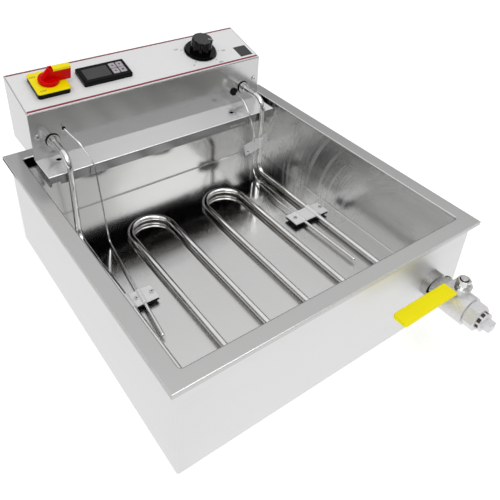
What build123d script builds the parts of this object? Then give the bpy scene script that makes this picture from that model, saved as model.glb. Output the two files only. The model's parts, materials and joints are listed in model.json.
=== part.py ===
from build123d import *
import math
import os

# Countertop funnel cake fryer: a stainless pan with a lift-off control head, an immersed heating
# element with two sensor bulbs, and a drain ball valve. Millimetres, +Z up, the front faces -Y.

# Pan
rim_width = 480.0
rim_depth = 494.0
rim_band = 22.5
rim_lip = 6.0
rim_edge = 1.2
rim_fold = 2.0
wall_inset = 7.8
pan_height = 153.5
floor_lift = 30.0
tank_sheet = 1.5
casing_sheet = 1.2
well_corner = 4.0
floor_bend = 2.0
casing_corner = 2.5
base_flange = 10.0

# Feet
foot_height = 6.0
foot_radius = 14.0
foot_taper = 2.0
foot_inset = 48.0
foot_recess = 3.2
foot_screw_radius = 2.5
foot_screw_head = 4.8
foot_screw_head_height = 2.4
foot_screw_end = 2.4

# Drain valve, distances along its axis counted from the casing wall
drain_inset = 72.0
drain_height = 75.0
nipple_radius = 13.3
nipple_bore = 10.0
coupling_radius = 19.0
coupling_length = 13.0
coupling_chamfer = 1.6
valve_gap = 4.0
inlet_hex = 33.0
inlet_length = 11.0
thread_depth = 12.0
chamber_radius = 21.0
chamber_wall = 5.0
chamber_shoulder = 4.0
ball_radius = 15.0
ball_bore = 9.5
seat_depth = 6.0
seat_radius = 14.5
chamber_margin = 5.0
chamber_web = 3.0
cap_hex = 33.0
cap_length = 17.0
plug_thread_radius = 12.0
plug_collar = 7.0
plug_square = 12.0
plug_square_length = 10.0
plug_chamfer = 1.0
hex_face = 0.96
hex_bevel = 0.58

# Valve stem and lever, heights counted from the valve axis
stem_radius = 5.0
stem_slot_width = 4.0
stem_slot_depth = 4.0
boss_radius = 9.5
boss_height = 27.0
packing_radius = 7.5
packing_height = 6.0
lever_gap = 1.5
lever_sheet = 3.0
lever_width = 14.0
lever_eye = 12.5
lever_length = 113.0
lever_offset = 5.0
wing_start = 3.0
wing_length = 42.0
wing_near = 20.0
wing_crest = 21.0
wing_reach = 24.5
wing_far = 18.5
lock_plate_sheet = 1.2
lock_plate_margin = 2.0
lock_plate_pad = 4.5
sleeve_start = 19.0
sleeve_width = 22.0
sleeve_taper = 0.6
sleeve_thickness = 7.0
sleeve_tip = 3.0
sleeve_corner = 5.0
sleeve_edge = 2.0
washer_radius = 9.5
washer_sheet = 2.0
nut_width = 16.0
nut_height = 7.5
stem_stub = 2.0

# Control head
head_side_inset = 35.0
head_depth = 89.0
head_over_well = 16.5
head_front_height = 77.0
panel_slope = 15.6
head_sheet = 1.2
fold_radius = 2.0
hook_drop = 14.0
cover_flange = 9.0
overlay_sheet = 0.5
overlay_margin = 1.5
overlay_corner = 2.0

# Shelf in front of the head, its holes counted in from its ends
shelf_inset = 1.0
shelf_depth = 52.0
shelf_flange = 16.0
shelf_tuck = 12.0
shelf_sheet = 1.2
shelf_fold = 1.6
shelf_hole_radius = 4.0
shelf_left_hole = (31.0, 12.0)
shelf_right_hole = (73.0, 26.0)
shelf_slot_length = 32.0
shelf_slot_height = 3.0
shelf_slot_inset = 78.0
shelf_slot_drop = 9.6
shelf_notch_inset = 10.0
shelf_notch_length = 13.0
shelf_notch_drop = 11.2

# Heating element
element_radius = 4.75
run_count = 6
left_run_gap = 43.5
right_run_gap = 45.0
inner_run_shift = -2.4
element_lift = 6.8
leg_forward = 58.0
leg_top_bend = 20.0
leg_low_bend = 19.0
leg_height = 27.2
element_stub = 10.0
pin_radius = 1.6
pin_length = 14.0
front_loop_gap = 23.7
back_loop_gap = 89.0

# Element fittings in the head's front wall
fitting_hex = 17.0
fitting_flange = 10.0
fitting_flange_sheet = 2.0
fitting_collar = 6.6
fitting_length = 8.0
fitting_nut_length = 6.0
gasket_radius = 11.0
gasket_sheet = 1.2

# Sensors: insets count in from the leg on the same side, leads forward from the shelf's front edge
bulb_radius = 2.8
capillary_radius = 1.2
left_entry = (18.5, 42.0)
left_grommet = (2.8, 0.8)
left_shoulder = 37.0
left_line = ((34.1, 40.4), (10.3, 247.5))
left_bulb_length = 92.0
right_entry = (19.5, 23.0)
right_grommet = (7.0, 2.0)
right_shoulder = 26.0
right_held = (13.0, 38.5)
right_floor = ((12.0, 6.0), (24.5, 41.5))
right_line = ((29.5, 99.4), (24.7, 280.7))
right_bulb_length = 139.0
capillary_clear = 6.0
capillary_inside = 6.0
capillary_stub = 8.0
capillary_crest = 18.0
capillary_bend = 26.0
capillary_foot_bend = 6.0
capillary_floor_bend = 18.0
capillary_shoulder = 4.0

# Bulb clamps, with the same insets and leads
clamp_length = 27.0
clamp_sheet = 1.6
clamp_gap = 2.0
clamp_outer_reach = 22.5
left_clamp_lead = 172.2
left_clamp_reach = 39.0
left_clamp_screws = (34.6, 11.0)
right_clamp_lead = 156.0
right_clamp_reach = 46.0
right_clamp_screws = (37.5, -16.5)
clamp_screw_radius = 2.0
clamp_screw_head = 3.2
clamp_screw_head_height = 2.2

# Clip that ties the right capillary to its leg
clip_height = 22.0
clip_grip = 20.0
clip_sheet = 1.2
clip_level = 59.7
clip_inner_reach = 34.0
clip_outer_reach = 15.0
clip_tilt = 12.5

# Main switch on the panel, places counted along the panel and up its slope
switch_inset = 51.5
switch_up = 48.0
switch_size = 50.0
switch_corner = 4.0
switch_base_inset = 0.5
switch_base_height = 8.5
switch_plate_sheet = 1.6
switch_plate_chamfer = 0.5
switch_shaft_radius = 4.0
switch_body_size = 40.0
switch_body_depth = 38.0
handle_radius = 15.5
handle_disc = 6.5
handle_round = 2.2
handle_fin_height = 23.0
handle_fin_width = 9.6
handle_crown = 2.0
handle_fin_front = 32.5
handle_edge = 0.8
insert_start = 5.5
insert_height = 4.0
insert_edge = 0.8
notch_length = 4.0
notch_depth = 2.5
notch_side = 2.0

# Temperature controller on the panel
controller_offset = 87.5
controller_up = 46.0
controller_width = 80.0
controller_height = 39.0
controller_rise = 7.5
controller_corner = 2.5
bezel_chamfer = 1.5
controller_cutout_width = 71.0
controller_cutout_height = 29.0
controller_depth = 45.0
cutout_corner = 1.0
window_height = 25.0
window_sheet = 2.0
window_inset = 7.0
window_gap = 3.25
window_corner = 1.0
window_edge = 0.5
key_width = 10.5
key_height = 12.0
key_pitch = 12.0
key_row_pitch = 13.0
key_rise = 0.8
key_thickness = 2.5
key_travel = 0.8
key_inset = 17.5
key_corner = 1.2
key_edge = 0.4

# Thermostat on the panel
knob_inset = 93.0
knob_up = 47.0
knob_skirt = 28.5
knob_skirt_top = 26.2
knob_skirt_height = 4.0
knob_grip = 19.0
knob_grip_top = 17.5
knob_height = 25.0
knob_flutes = 10
knob_flute_radius = 4.5
knob_flute_depth = 2.0
knob_round = 2.2
shaft_radius = 3.0
shaft_depth = 8.0
shaft_reach = 17.5
bushing_radius = 5.0
bushing_rise = 1.2
thermostat_width = 46.0
thermostat_height = 34.0
thermostat_depth = 30.0
thermostat_corner = 3.0

# Inside the head and at its back
terminal_width = 70.0
terminal_depth = 24.0
terminal_height = 22.0
terminal_chamfer = 3.6
gland_inset = 85.0
gland_height = 30.0
gland_bore = 5.5
gland_hex = 24.0
gland_nose = 10.0
gland_tip = 8.0
gland_flats = 4.5
gland_length = 18.0
gland_thread = 8.0
gland_nut = 5.0
head_screw_radius = 2.0
head_screw_head = 4.0
head_screw_head_height = 2.0
head_screw_round = 1.0
head_screw_length = 3.6
head_screw_inset = 9.5
head_screw_height = 39.0
cover_screw_inset = 14.0

# Clearances
touch = 0.05
running = 0.05
free = 0.4
past = 1.0

# Places that follow from the sizes above
rim_top = foot_height + pan_height
floor_top = foot_height + floor_lift
well_width = rim_width - 2 * rim_band
well_depth = rim_depth - 2 * rim_band
casing_width = rim_width - 2 * wall_inset
casing_depth = rim_depth - 2 * wall_inset
front_wall = -casing_depth / 2
drain_side = rim_width / 2 - drain_inset
head_width = rim_width - 2 * head_side_inset
shelf_width = head_width - 2 * shelf_inset
switch_side = switch_inset - head_width / 2
controller_side = switch_side + controller_offset
knob_side = head_width / 2 - knob_inset
gland_side = gland_inset - head_width / 2
valve_start = coupling_length + valve_gap
ball_at = valve_start + inlet_length + chamber_web + ball_radius
chamber_end = ball_at + ball_radius + chamber_margin
cap_end = chamber_end + cap_length
valve_end = cap_end + plug_collar + plug_square_length
head_front = well_depth / 2 - head_over_well
head_back = head_front + head_depth
slope = math.radians(panel_slope)
panel_front_z = rim_top + head_front_height
panel_length = head_depth / math.cos(slope)
shelf_front = head_front - shelf_depth
leg_y = head_front - leg_forward
leg_x = {-1: left_run_gap - well_width / 2, 1: well_width / 2 - right_run_gap}
run_pitch = (leg_x[1] - leg_x[-1]) / (run_count - 1)
element_z = floor_top + element_lift
fitting_z = rim_top + leg_height
gland_end = gland_length - gland_thread
origin_y = (front_wall - valve_end + head_back + gland_end) / 2

panel = Plane((0, head_front, panel_front_z), x_dir=(1, 0, 0),
              z_dir=(0, -math.sin(slope), math.cos(slope)))
valve_axis = Plane((drain_side, front_wall, foot_height + drain_height), x_dir=(1, 0, 0), z_dir=(0, -1, 0))
stem_axis = Plane((drain_side, front_wall - ball_at, foot_height + drain_height),
                  x_dir=(-1, 0, 0), z_dir=(0, 0, 1))
BASE = (Align.CENTER, Align.CENTER, Align.MIN)
TOP = (Align.CENTER, Align.CENTER, Align.MAX)


def block(low, high):
    """Box between two corners."""
    size = [h - l for l, h in zip(low, high)]
    middle = [(l + h) / 2 for l, h in zip(low, high)]
    return Pos(*middle) * Box(*size)


def rod(radius, start, end):
    """Round bar along local Z between two heights."""
    return Pos(0, 0, start) * Cylinder(radius, end - start, align=BASE)


def ring(outer, inner, start, end):
    """Round sleeve along local Z between two heights."""
    return rod(outer, start, end) - rod(inner, start, end)


def hexagon(width, start, end):
    """Hexagonal bar along local Z with its corners turned off, given the width across its flats."""
    bar = Pos(0, 0, start) * extrude(RegularPolygon(width / 2, 6, major_radius=False), end - start)
    corner = width / math.sqrt(3)
    face = hex_face * width / 2
    bevel = hex_bevel * (corner - face)
    profile = Polygon((0, start), (face, start), (corner, start + bevel), (corner, end - bevel),
                      (face, end), (0, end), align=None)
    return bar & revolve(Plane.XZ * profile, Axis.Z)


def plate(width, height, corner, start, end):
    """Plate with rounded corners, standing on local XY between two heights."""
    return Pos(0, 0, start) * extrude(RectangleRounded(width, height, corner), end - start)


def tube(radius, path):
    """Round bar swept along a wire."""
    return sweep(Plane(path @ 0, z_dir=path % 0) * Circle(radius), path=path)


def bent_path(points, radii):
    """Straight runs joined by tangent arcs."""
    return Wire(FilletPolyline(*points, radius=radii).edges())


# Pan


def tank():
    """Welded well with a flat rim and a down-turned lip, pierced for the drain."""
    def well(width, depth, bottom, corner, bend):
        body = Pos(0, 0, rim_top) * Box(width, depth, rim_top - bottom, align=TOP)
        body = fillet(body.edges().filter_by(Axis.Z), corner)
        return fillet(body.faces().sort_by(Axis.Z)[0].edges(), bend)

    rim = Pos(0, 0, rim_top) * Box(rim_width, rim_depth, rim_lip, align=TOP)
    rim -= Pos(0, 0, rim_top - tank_sheet) * Box(
        rim_width - 2 * tank_sheet, rim_depth - 2 * tank_sheet, rim_lip, align=TOP)
    outside = well(well_width + 2 * tank_sheet, well_depth + 2 * tank_sheet, floor_top - tank_sheet,
                   well_corner + tank_sheet, floor_bend + tank_sheet)
    inside = well(well_width, well_depth, floor_top, well_corner, floor_bend)
    drain = valve_axis * rod(nipple_radius + touch, -rim_band, 0)
    shell = rim + outside - inside - drain
    top = shell.faces().sort_by(Axis.Z)[-1]
    shell = fillet(top.outer_wire().edges(), rim_edge)
    top = shell.faces().sort_by(Axis.Z)[-1]
    return fillet(top.inner_wires()[0].edges(), rim_fold)


def outer_casing():
    """Four folded walls that carry the rim."""
    height = rim_top - tank_sheet - foot_height
    walls = Pos(0, 0, foot_height) * plate(casing_width, casing_depth, casing_corner, 0, height)
    walls -= Pos(0, 0, foot_height) * Box(
        casing_width - 2 * casing_sheet, casing_depth - 2 * casing_sheet, height, align=BASE)
    return walls - valve_axis * rod(nipple_radius + free, -rim_band, casing_sheet)


def base_plate():
    """Tray that closes the casing from below and takes the feet."""
    width = casing_width - 2 * casing_sheet - 2 * touch
    depth = casing_depth - 2 * casing_sheet - 2 * touch
    tray = Pos(0, 0, foot_height) * Box(width, depth, base_flange, align=BASE)
    tray -= Pos(0, 0, foot_height + casing_sheet) * Box(
        width - 2 * casing_sheet, depth - 2 * casing_sheet, base_flange, align=BASE)
    for x, y in foot_places():
        tray -= Pos(x, y, 0) * rod(foot_screw_radius + touch, 0, foot_height + casing_sheet)
    return tray


def foot_places():
    """Centres of the four feet, front left first."""
    x = casing_width / 2 - foot_inset
    y = casing_depth / 2 - foot_inset
    return [(-x, -y), (x, -y), (-x, y), (x, y)]


def rubber_foot():
    """Tapered foot with a countersunk screw hole, standing on local XY."""
    foot = Cone(foot_radius - foot_taper, foot_radius, foot_height, align=BASE)
    foot -= rod(foot_screw_radius + touch, 0, foot_height)
    return foot - rod(foot_screw_head + free, 0, foot_recess)


def foot_screw():
    """Screw head up in the foot's recess, shank through the base plate."""
    head = rod(foot_screw_head, foot_recess - foot_screw_head_height, foot_recess)
    return head + rod(foot_screw_radius, foot_recess, foot_height + casing_sheet + foot_screw_end)


# Drain valve


def drain_coupling():
    """Half coupling against the casing wall, round the nipple."""
    body = ring(coupling_radius, nipple_radius + touch, 0, coupling_length)
    outer_edge = body.edges().filter_by(GeomType.CIRCLE).group_by(Axis.Z)[-1].sort_by(SortBy.RADIUS)[-1]
    return valve_axis * chamfer(outer_edge, coupling_chamfer)


def drain_nipple():
    """Pipe from the tank wall into the valve body."""
    inner_end = -(casing_depth - well_depth) / 2
    return valve_axis * ring(nipple_radius, nipple_bore, inner_end, valve_start + thread_depth)


def valve_body():
    """Hexagonal inlet, round ball chamber and a boss for the stem."""
    cavity = chamber_radius - chamber_wall
    cavity_start = ball_at - ball_radius
    neck = valve_start + inlet_length
    body = hexagon(inlet_hex, valve_start, neck)
    chamber = rod(chamber_radius, neck, chamber_end)
    edges = chamber.edges().filter_by(GeomType.CIRCLE).sort_by(Axis.Z)
    body += fillet(edges[0], chamber_shoulder)
    up = Pos(0, 0, ball_at) * Rot(X=-90)
    body += up * rod(boss_radius, 0, boss_height)
    body -= rod(nipple_bore, valve_start, cavity_start)
    body -= rod(nipple_radius + touch, valve_start, valve_start + thread_depth)
    body -= rod(cavity, cavity_start, chamber_end)
    body -= up * rod(stem_radius + running, 0, boss_height)
    return valve_axis * (body - up * rod(packing_radius, boss_height - packing_height, boss_height))


def valve_end_cap():
    """Hexagonal cap screwed into the chamber, bored for the plug."""
    cavity = chamber_radius - chamber_wall
    cap = hexagon(cap_hex, chamber_end, cap_end)
    cap += rod(cavity - touch, ball_at + ball_radius, chamber_end)
    return valve_axis * (cap - rod(plug_thread_radius + touch, ball_at + ball_radius, cap_end))


def valve_seats():
    """Two rings that hold the ball, each hollowed to its curve."""
    hollow = Pos(0, 0, ball_at) * Sphere(ball_radius + free)
    seats = []
    for start in (ball_at - ball_radius, ball_at + ball_radius - seat_depth):
        seats.append(valve_axis * (ring(seat_radius, ball_bore, start, start + seat_depth) - hollow))
    return Compound(seats)


def packing_ring():
    """Stem seal in the boss."""
    return stem_axis * ring(packing_radius - touch, stem_radius + running,
                            boss_height - packing_height, boss_height)


def drain_plug():
    """Threaded plug with a square head."""
    plug = rod(plug_thread_radius, chamber_end, cap_end + plug_collar)
    square = Box(plug_square, plug_square, plug_square_length, align=BASE)
    square = chamfer(square.faces().sort_by(Axis.Z)[-1].edges(), plug_chamfer)
    return valve_axis * (plug + Pos(0, 0, cap_end + plug_collar) * square)


# Valve lever: local X points along the lever, local Z up the stem

lever_low = boss_height + lever_gap
lever_top = lever_low + lever_sheet


def valve_ball():
    """Bored ball with a slot for the stem, shown shut: the bore lies across the pipe."""
    bore = Rot(Y=90) * rod(ball_bore, -ball_radius, ball_radius)
    slot = Pos(0, 0, ball_radius) * Box(
        2 * ball_radius, stem_slot_width + 2 * touch, 2 * stem_slot_depth)
    return stem_axis * (Sphere(ball_radius) - bore - slot)


def valve_stem():
    """Stem with a tang in the ball and a threaded end above the nut."""
    top = lever_top + washer_sheet + nut_height + stem_stub
    tang = Pos(0, 0, ball_radius - stem_slot_depth) * Box(
        2 * stem_radius, stem_slot_width, stem_slot_depth, align=BASE)
    tang &= rod(stem_radius, 0, ball_radius)
    return stem_axis * (rod(stem_radius, ball_radius, top) + tang)


def valve_lever():
    """Flat lever with a round eye, a strip into the sleeve and a side wing."""
    outline = Circle(lever_eye)
    outline += Pos(lever_length / 2, -lever_offset) * Rectangle(lever_length, lever_width)
    outline += wing_outline(0)
    lever = Pos(0, 0, lever_low) * extrude(outline, lever_sheet)
    return stem_axis * (lever - rod(stem_radius + touch, lever_low, lever_top))


def wing_outline(grow):
    """Wing on the wall side of the lever, with a bowed edge."""
    near = wing_start - grow
    far = wing_start + wing_length + grow
    edge = ThreePointArc((near, -wing_near - grow), (wing_start + wing_crest, -wing_reach - grow),
                         (far, -wing_far - grow))
    return make_face(Line((far, 0), (near, 0)) + Line((near, 0), edge @ 0) + edge + Line(edge @ 1, (far, 0)))


def lock_plate():
    """Thin plate under the lever that shows round the wing's edge and ends in a pad by the stem."""
    low = lever_low - lock_plate_sheet
    outline = wing_outline(lock_plate_margin) + Pos(wing_start, -wing_near) * Circle(lock_plate_pad)
    body = Pos(0, 0, low) * extrude(outline, lock_plate_sheet)
    return stem_axis * (body - rod(stem_radius + free, low, lever_low))


def lever_sleeve():
    """Flattened sleeve pushed over the lever's strip."""
    end = lever_length + sleeve_tip
    half = sleeve_width / 2
    outline = Pos(0, -lever_offset) * Polygon(
        (sleeve_start, -half + sleeve_taper), (end, -half), (end, half),
        (sleeve_start, half - sleeve_taper), align=None)
    middle = (lever_low + lever_top) / 2
    body = Pos(0, 0, middle - sleeve_thickness / 2) * extrude(outline, sleeve_thickness)
    upright = body.edges().filter_by(Axis.Z)
    body = fillet(upright.sort_by(Axis.X)[-2:], sleeve_corner)
    flat_faces = body.faces().sort_by(Axis.Z)
    body = fillet(flat_faces[0].edges() + flat_faces[-1].edges(), sleeve_edge)
    slot = block((sleeve_start, -lever_offset - lever_width / 2 - touch, lever_low - touch),
                 (lever_length + touch, -lever_offset + lever_width / 2 + touch, lever_top + touch))
    wing = Pos(0, 0, lever_low - lock_plate_sheet - touch) * extrude(
        wing_outline(lock_plate_margin + touch), lock_plate_sheet + lever_sheet + 2 * touch)
    return stem_axis * (body - slot - wing)


def lever_washer():
    """Washer between lever and nut."""
    return stem_axis * ring(washer_radius, stem_radius + touch, lever_top, lever_top + washer_sheet)


def lever_nut():
    """Nut that holds the lever on the stem."""
    low = lever_top + washer_sheet
    nut = hexagon(nut_width, low, low + nut_height)
    return stem_axis * (nut - rod(stem_radius + touch, low, low + nut_height))


# Control head


def head_profile(inset, past):
    """Side outline of the head: inset moves its walls in, past runs out at the back and bottom."""
    y0 = head_front + inset
    y1 = head_back + past
    drop = inset / math.cos(slope)

    def panel_z(y):
        return panel_front_z + (y - head_front) * math.tan(slope) - drop

    points = ((y0, rim_top - past), (y0, panel_z(y0)), (y1, panel_z(y1)), (y1, rim_top - past))
    return Plane.YZ * Polygon(*points, align=None)


def front_fittings():
    """Places of the holes in the head's front wall, as (x, z, radius)."""
    holes = [(leg_x[side], fitting_z, fitting_collar + touch) for side in (-1, 1)]
    for side, (radius, lip) in ((-1, left_grommet), (1, right_grommet)):
        holes.append((*capillary_entry(side), radius - lip))
    holes += [(x, z, head_screw_radius + touch) for x, z in front_screw_places()]
    return holes


def front_screw_places():
    """Places of the two screws low on the head's front wall."""
    x = head_width / 2 - head_screw_inset
    return [(-x, rim_top + head_screw_height), (x, rim_top + head_screw_height)]


def facing_front(x, z):
    """Frame on the head's front wall, local Z forward."""
    return Plane((x, head_front, z), x_dir=(1, 0, 0), z_dir=(0, -1, 0))


def facing_back(x, z):
    """Frame on the head's back cover, local Z backward."""
    return Plane((x, head_back, z), x_dir=(-1, 0, 0), z_dir=(0, 1, 0))


def panel_cuts(start, end):
    """Openings that the panel and its overlay share."""
    cuts = panel * Pos(switch_side, switch_up) * rod(switch_shaft_radius + 2 * free, start, end)
    cuts += panel * Pos(controller_side, controller_up) * plate(
        controller_cutout_width + 2 * touch, controller_cutout_height + 2 * touch, cutout_corner, start, end)
    cuts += panel * Pos(knob_side, knob_up) * rod(bushing_radius + touch, start, end)
    return cuts


def head_shell():
    """Front wall, sloped panel and side walls, folded from sheet, open below and behind."""
    outside = extrude(head_profile(0, 0), head_width / 2, both=True)
    fold = outside.edges().filter_by(Axis.X).group_by(Axis.Y)[0].sort_by(Axis.Z)[-1]
    outside = fillet(fold, fold_radius)
    inside = extrude(head_profile(head_sheet, head_sheet), head_width / 2 - head_sheet, both=True)
    shell = outside - inside - panel_cuts(-2 * head_sheet, head_sheet)
    for x, z, radius in front_fittings():
        shell -= facing_front(x, z) * rod(radius, -2 * head_sheet, head_sheet)
    return shell


def cover_screw_places():
    """Places of the four back cover screws."""
    x = head_width / 2 - cover_screw_inset
    top = rim_top + head_front_height
    return [(side * x, z) for side in (-1, 1) for z in (rim_top + cover_screw_inset, top)]


def head_back_cover():
    """Flat rear cover with side flanges inside the shell, pierced for the gland."""
    half = head_width / 2 - head_sheet - touch
    inner_top = panel_front_z + (head_depth - head_sheet) * math.tan(slope) - head_sheet / math.cos(slope)
    low = rim_top + head_sheet + touch
    cover = block((-half, head_back - head_sheet, low), (half, head_back, inner_top - touch))
    for side in (-1, 1):
        x0, x1 = sorted((side * half, side * (half - head_sheet)))
        top = panel_front_z + (head_depth - cover_flange) * math.tan(slope) - 2 * head_sheet
        cover += block((x0, head_back - cover_flange, low), (x1, head_back, top))
    for x, z in cover_screw_places():
        cover -= facing_back(x, z) * rod(head_screw_radius + touch, -2 * head_sheet, head_sheet)
    gland = facing_back(gland_side, rim_top + gland_height)
    return cover - gland * rod(gland_thread + touch, -2 * head_sheet, head_sheet)


def head_bottom_plate():
    """Bottom of the head, resting on the rear rim, with a hook behind the rim."""
    half = head_width / 2 - head_sheet - touch
    body = block((-half, head_front + head_sheet + touch, rim_top), (half, head_back, rim_top + head_sheet))
    hook = rim_depth / 2 + free
    return body + block((-half, hook, rim_top - hook_drop), (half, hook + head_sheet, rim_top))


def panel_overlay():
    """Printed sheet on the sloped panel."""
    width = head_width - 2 * overlay_margin
    length = panel_length - 2 * overlay_margin - fold_radius
    middle = overlay_margin + fold_radius + length / 2
    sheet = panel * Pos(0, middle) * plate(width, length, overlay_corner, 0, overlay_sheet)
    return sheet - panel_cuts(-head_sheet, head_sheet)


def shelf():
    """Tray turned upside down in front of the head, with flanges on three sides."""
    half = shelf_width / 2
    front = shelf_front
    back = head_front + shelf_tuck
    body = block((-half, front, rim_top - shelf_flange), (half, back, rim_top))
    top_edges = body.faces().sort_by(Axis.Z)[-1].edges().sort_by(Axis.Y)
    body = fillet(top_edges[:3], shelf_fold)
    body -= block((-half + shelf_sheet, front + shelf_sheet, rim_top - shelf_flange - past),
                  (half - shelf_sheet, back + past, rim_top - shelf_sheet))
    for side, (inset, forward) in ((-1, shelf_left_hole), (1, shelf_right_hole)):
        place = Pos(side * (half - inset), head_front - forward, rim_top)
        body -= place * rod(shelf_hole_radius, -shelf_flange, past)
    slot_top = rim_top - shelf_slot_drop
    slot_half = shelf_slot_length / 2
    slot_x = half - shelf_slot_inset
    body -= block((slot_x - slot_half, front - past, slot_top - shelf_slot_height),
                  (slot_x + slot_half, front + 2 * shelf_sheet, slot_top))
    notch_half = shelf_notch_length / 2
    notch_x = shelf_notch_inset - half
    body -= block((notch_x - notch_half, front - past, rim_top - shelf_flange - past),
                  (notch_x + notch_half, front + 2 * shelf_sheet, rim_top - shelf_notch_drop))
    return body


# Heating element


def run_places():
    """Places of the runs across the pan: the outer two follow the legs, the others sit a little aside."""
    inner = [leg_x[-1] + index * run_pitch + inner_run_shift for index in range(1, run_count - 1)]
    return [leg_x[-1], *inner, leg_x[1]]


def element_path():
    """Centre line of the tube: down one leg, six runs to and fro, up the other leg."""
    front = front_loop_gap - well_depth / 2
    back = well_depth / 2 - back_loop_gap
    diagonal = math.sqrt(0.5)

    def leg(x):
        """Edges from the head down to the first run, in that order."""
        top = fitting_z - leg_top_bend
        low = element_z + leg_low_bend
        turn_y = leg_y + leg_top_bend
        run_y = leg_y - leg_low_bend
        stub = Vector(x, head_front + element_stub, fitting_z)
        over = Vector(x, turn_y, fitting_z)
        over_mid = Vector(x, turn_y - leg_top_bend * diagonal, top + leg_top_bend * diagonal)
        down = Vector(x, leg_y, top)
        bottom = Vector(x, leg_y, low)
        low_mid = Vector(x, run_y + leg_low_bend * diagonal, low - leg_low_bend * diagonal)
        start = Vector(x, run_y, element_z)
        return [Line(stub, over), ThreePointArc(over, over_mid, down), Line(down, bottom),
                ThreePointArc(bottom, low_mid, start)]

    runs = run_places()
    edges = leg(runs[0])
    here = edges[-1] @ 1
    for index, (x, next_x) in enumerate(zip(runs, runs[1:])):
        half = (next_x - x) / 2
        apex_y = front if index % 2 == 0 else back
        turn_y = front + half if index % 2 == 0 else back - half
        turn = Vector(x, turn_y, element_z)
        after = Vector(next_x, turn_y, element_z)
        edges.append(Line(here, turn))
        edges.append(ThreePointArc(turn, Vector(x + half, apex_y, element_z), after))
        here = after
    last_leg = leg(runs[-1])
    edges.append(Line(here, last_leg[-1] @ 1))
    edges += reversed(last_leg)
    return Wire([edge.edge() for edge in edges])


def heating_element():
    """One bent tube with a terminal pin in each end, inside the head."""
    body = tube(element_radius, element_path())
    for side in (-1, 1):
        pin = rod(pin_radius, -element_stub - pin_length, -element_stub)
        body += facing_front(leg_x[side], fitting_z) * pin
    return body


def element_fitting(side):
    """Collar through the head's front wall with a round flange in front and a nut behind."""
    frame = facing_front(leg_x[side], fitting_z)
    body = rod(fitting_collar, -head_sheet - fitting_nut_length, gasket_sheet + fitting_length)
    body += rod(fitting_flange, gasket_sheet, gasket_sheet + fitting_flange_sheet)
    body += hexagon(fitting_hex, -head_sheet - fitting_nut_length, -head_sheet)
    bore = rod(element_radius + touch, -head_sheet - fitting_nut_length, gasket_sheet + fitting_length)
    return frame * (body - bore)


def element_gaskets():
    """Two black rings between the fittings and the wall."""
    rings = []
    for side in (-1, 1):
        frame = facing_front(leg_x[side], fitting_z)
        rings.append(frame * ring(gasket_radius, fitting_collar + touch, 0, gasket_sheet))
    return Compound(rings)


# Sensors


def from_leg(side, inset, lead):
    """Place in the well, counted in from a leg and forward from the shelf's front edge."""
    return leg_x[side] - side * inset, shelf_front - lead


def capillary_entry(side):
    """Place where a capillary leaves the head's front wall, as (x, z)."""
    inset, up = left_entry if side < 0 else right_entry
    return leg_x[side] - side * inset, rim_top + up


def sensor_line(side):
    """Start and tip of the straight stretch that ends in a bulb."""
    return [Vector(*from_leg(side, *place), element_z) for place in (left_line if side < 0 else right_line)]


def bulb_frame(side):
    """Frame at the back end of a bulb, local Z along it, and the bulb's length."""
    start, tip = sensor_line(side)
    length = left_bulb_length if side < 0 else right_bulb_length
    along = (tip - start).normalized()
    return Plane(tip - along * length, z_dir=along), length


def sensor_bulb(side):
    """Closed round bulb with a domed tip and a drawn-in neck."""
    frame, length = bulb_frame(side)
    body = rod(bulb_radius, 0, length)
    body = fillet(body.edges().sort_by(Axis.Z)[-1], bulb_radius - touch)
    neck = body.edges().filter_by(GeomType.CIRCLE).sort_by(Axis.Z)[0]
    return frame * chamfer(neck, bulb_radius - capillary_radius - touch)


def capillary_points(side):
    """Corners of a capillary from the head, over the shelf, down in front of it and on to its bulb."""
    x, z = capillary_entry(side)
    shoulder_inset = left_shoulder if side < 0 else right_shoulder
    shoulder_x, drop_y = from_leg(side, shoulder_inset, capillary_clear)
    crest_y = shelf_front + capillary_crest
    lift = min(z - rim_top, capillary_crest)
    frame, _ = bulb_frame(side)
    points = [(x, head_front + capillary_inside, z), (x, head_front - capillary_stub, z),
              ((x + shoulder_x) / 2, crest_y, (z + rim_top + lift) / 2),
              (shoulder_x, drop_y, rim_top + capillary_shoulder)]
    if side > 0:
        held_inset, held_drop = right_held
        points.append((leg_x[1] - held_inset, drop_y, rim_top - held_drop))
        points += [(*from_leg(side, *place), element_z) for place in right_floor]
    return [*points, tuple(sensor_line(side)[0]), tuple(frame.origin)]


def capillary(side):
    """Thin tube from the head to its bulb."""
    points = capillary_points(side)
    if side < 0:
        bends = [capillary_bend] * 3 + [capillary_foot_bend]
    else:
        bends = [capillary_bend] * 4 + [capillary_floor_bend] + [capillary_bend] * 2
    return tube(capillary_radius, bent_path(points, bends))


def capillary_grommets():
    """Two bushes that guide the capillaries through the wall."""
    bushes = []
    for side, (radius, lip) in ((-1, left_grommet), (1, right_grommet)):
        body = rod(radius - lip - touch, -head_sheet - lip, lip)
        body += rod(radius, 0, lip)
        body += rod(radius, -head_sheet - lip, -head_sheet)
        body -= rod(capillary_radius + touch, -head_sheet - lip, lip)
        bushes.append(facing_front(*capillary_entry(side)) * body)
    return Compound(bushes)


# Bulb clamps


def clamp_middle(side):
    """Middle of a clamp along its run."""
    return shelf_front - (left_clamp_lead if side < 0 else right_clamp_lead)


def clamp_screw_xs(side):
    """Places of the two clamp screws across the runs."""
    return [leg_x[side] - side * inset for inset in (left_clamp_screws if side < 0 else right_clamp_screws)]


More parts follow.
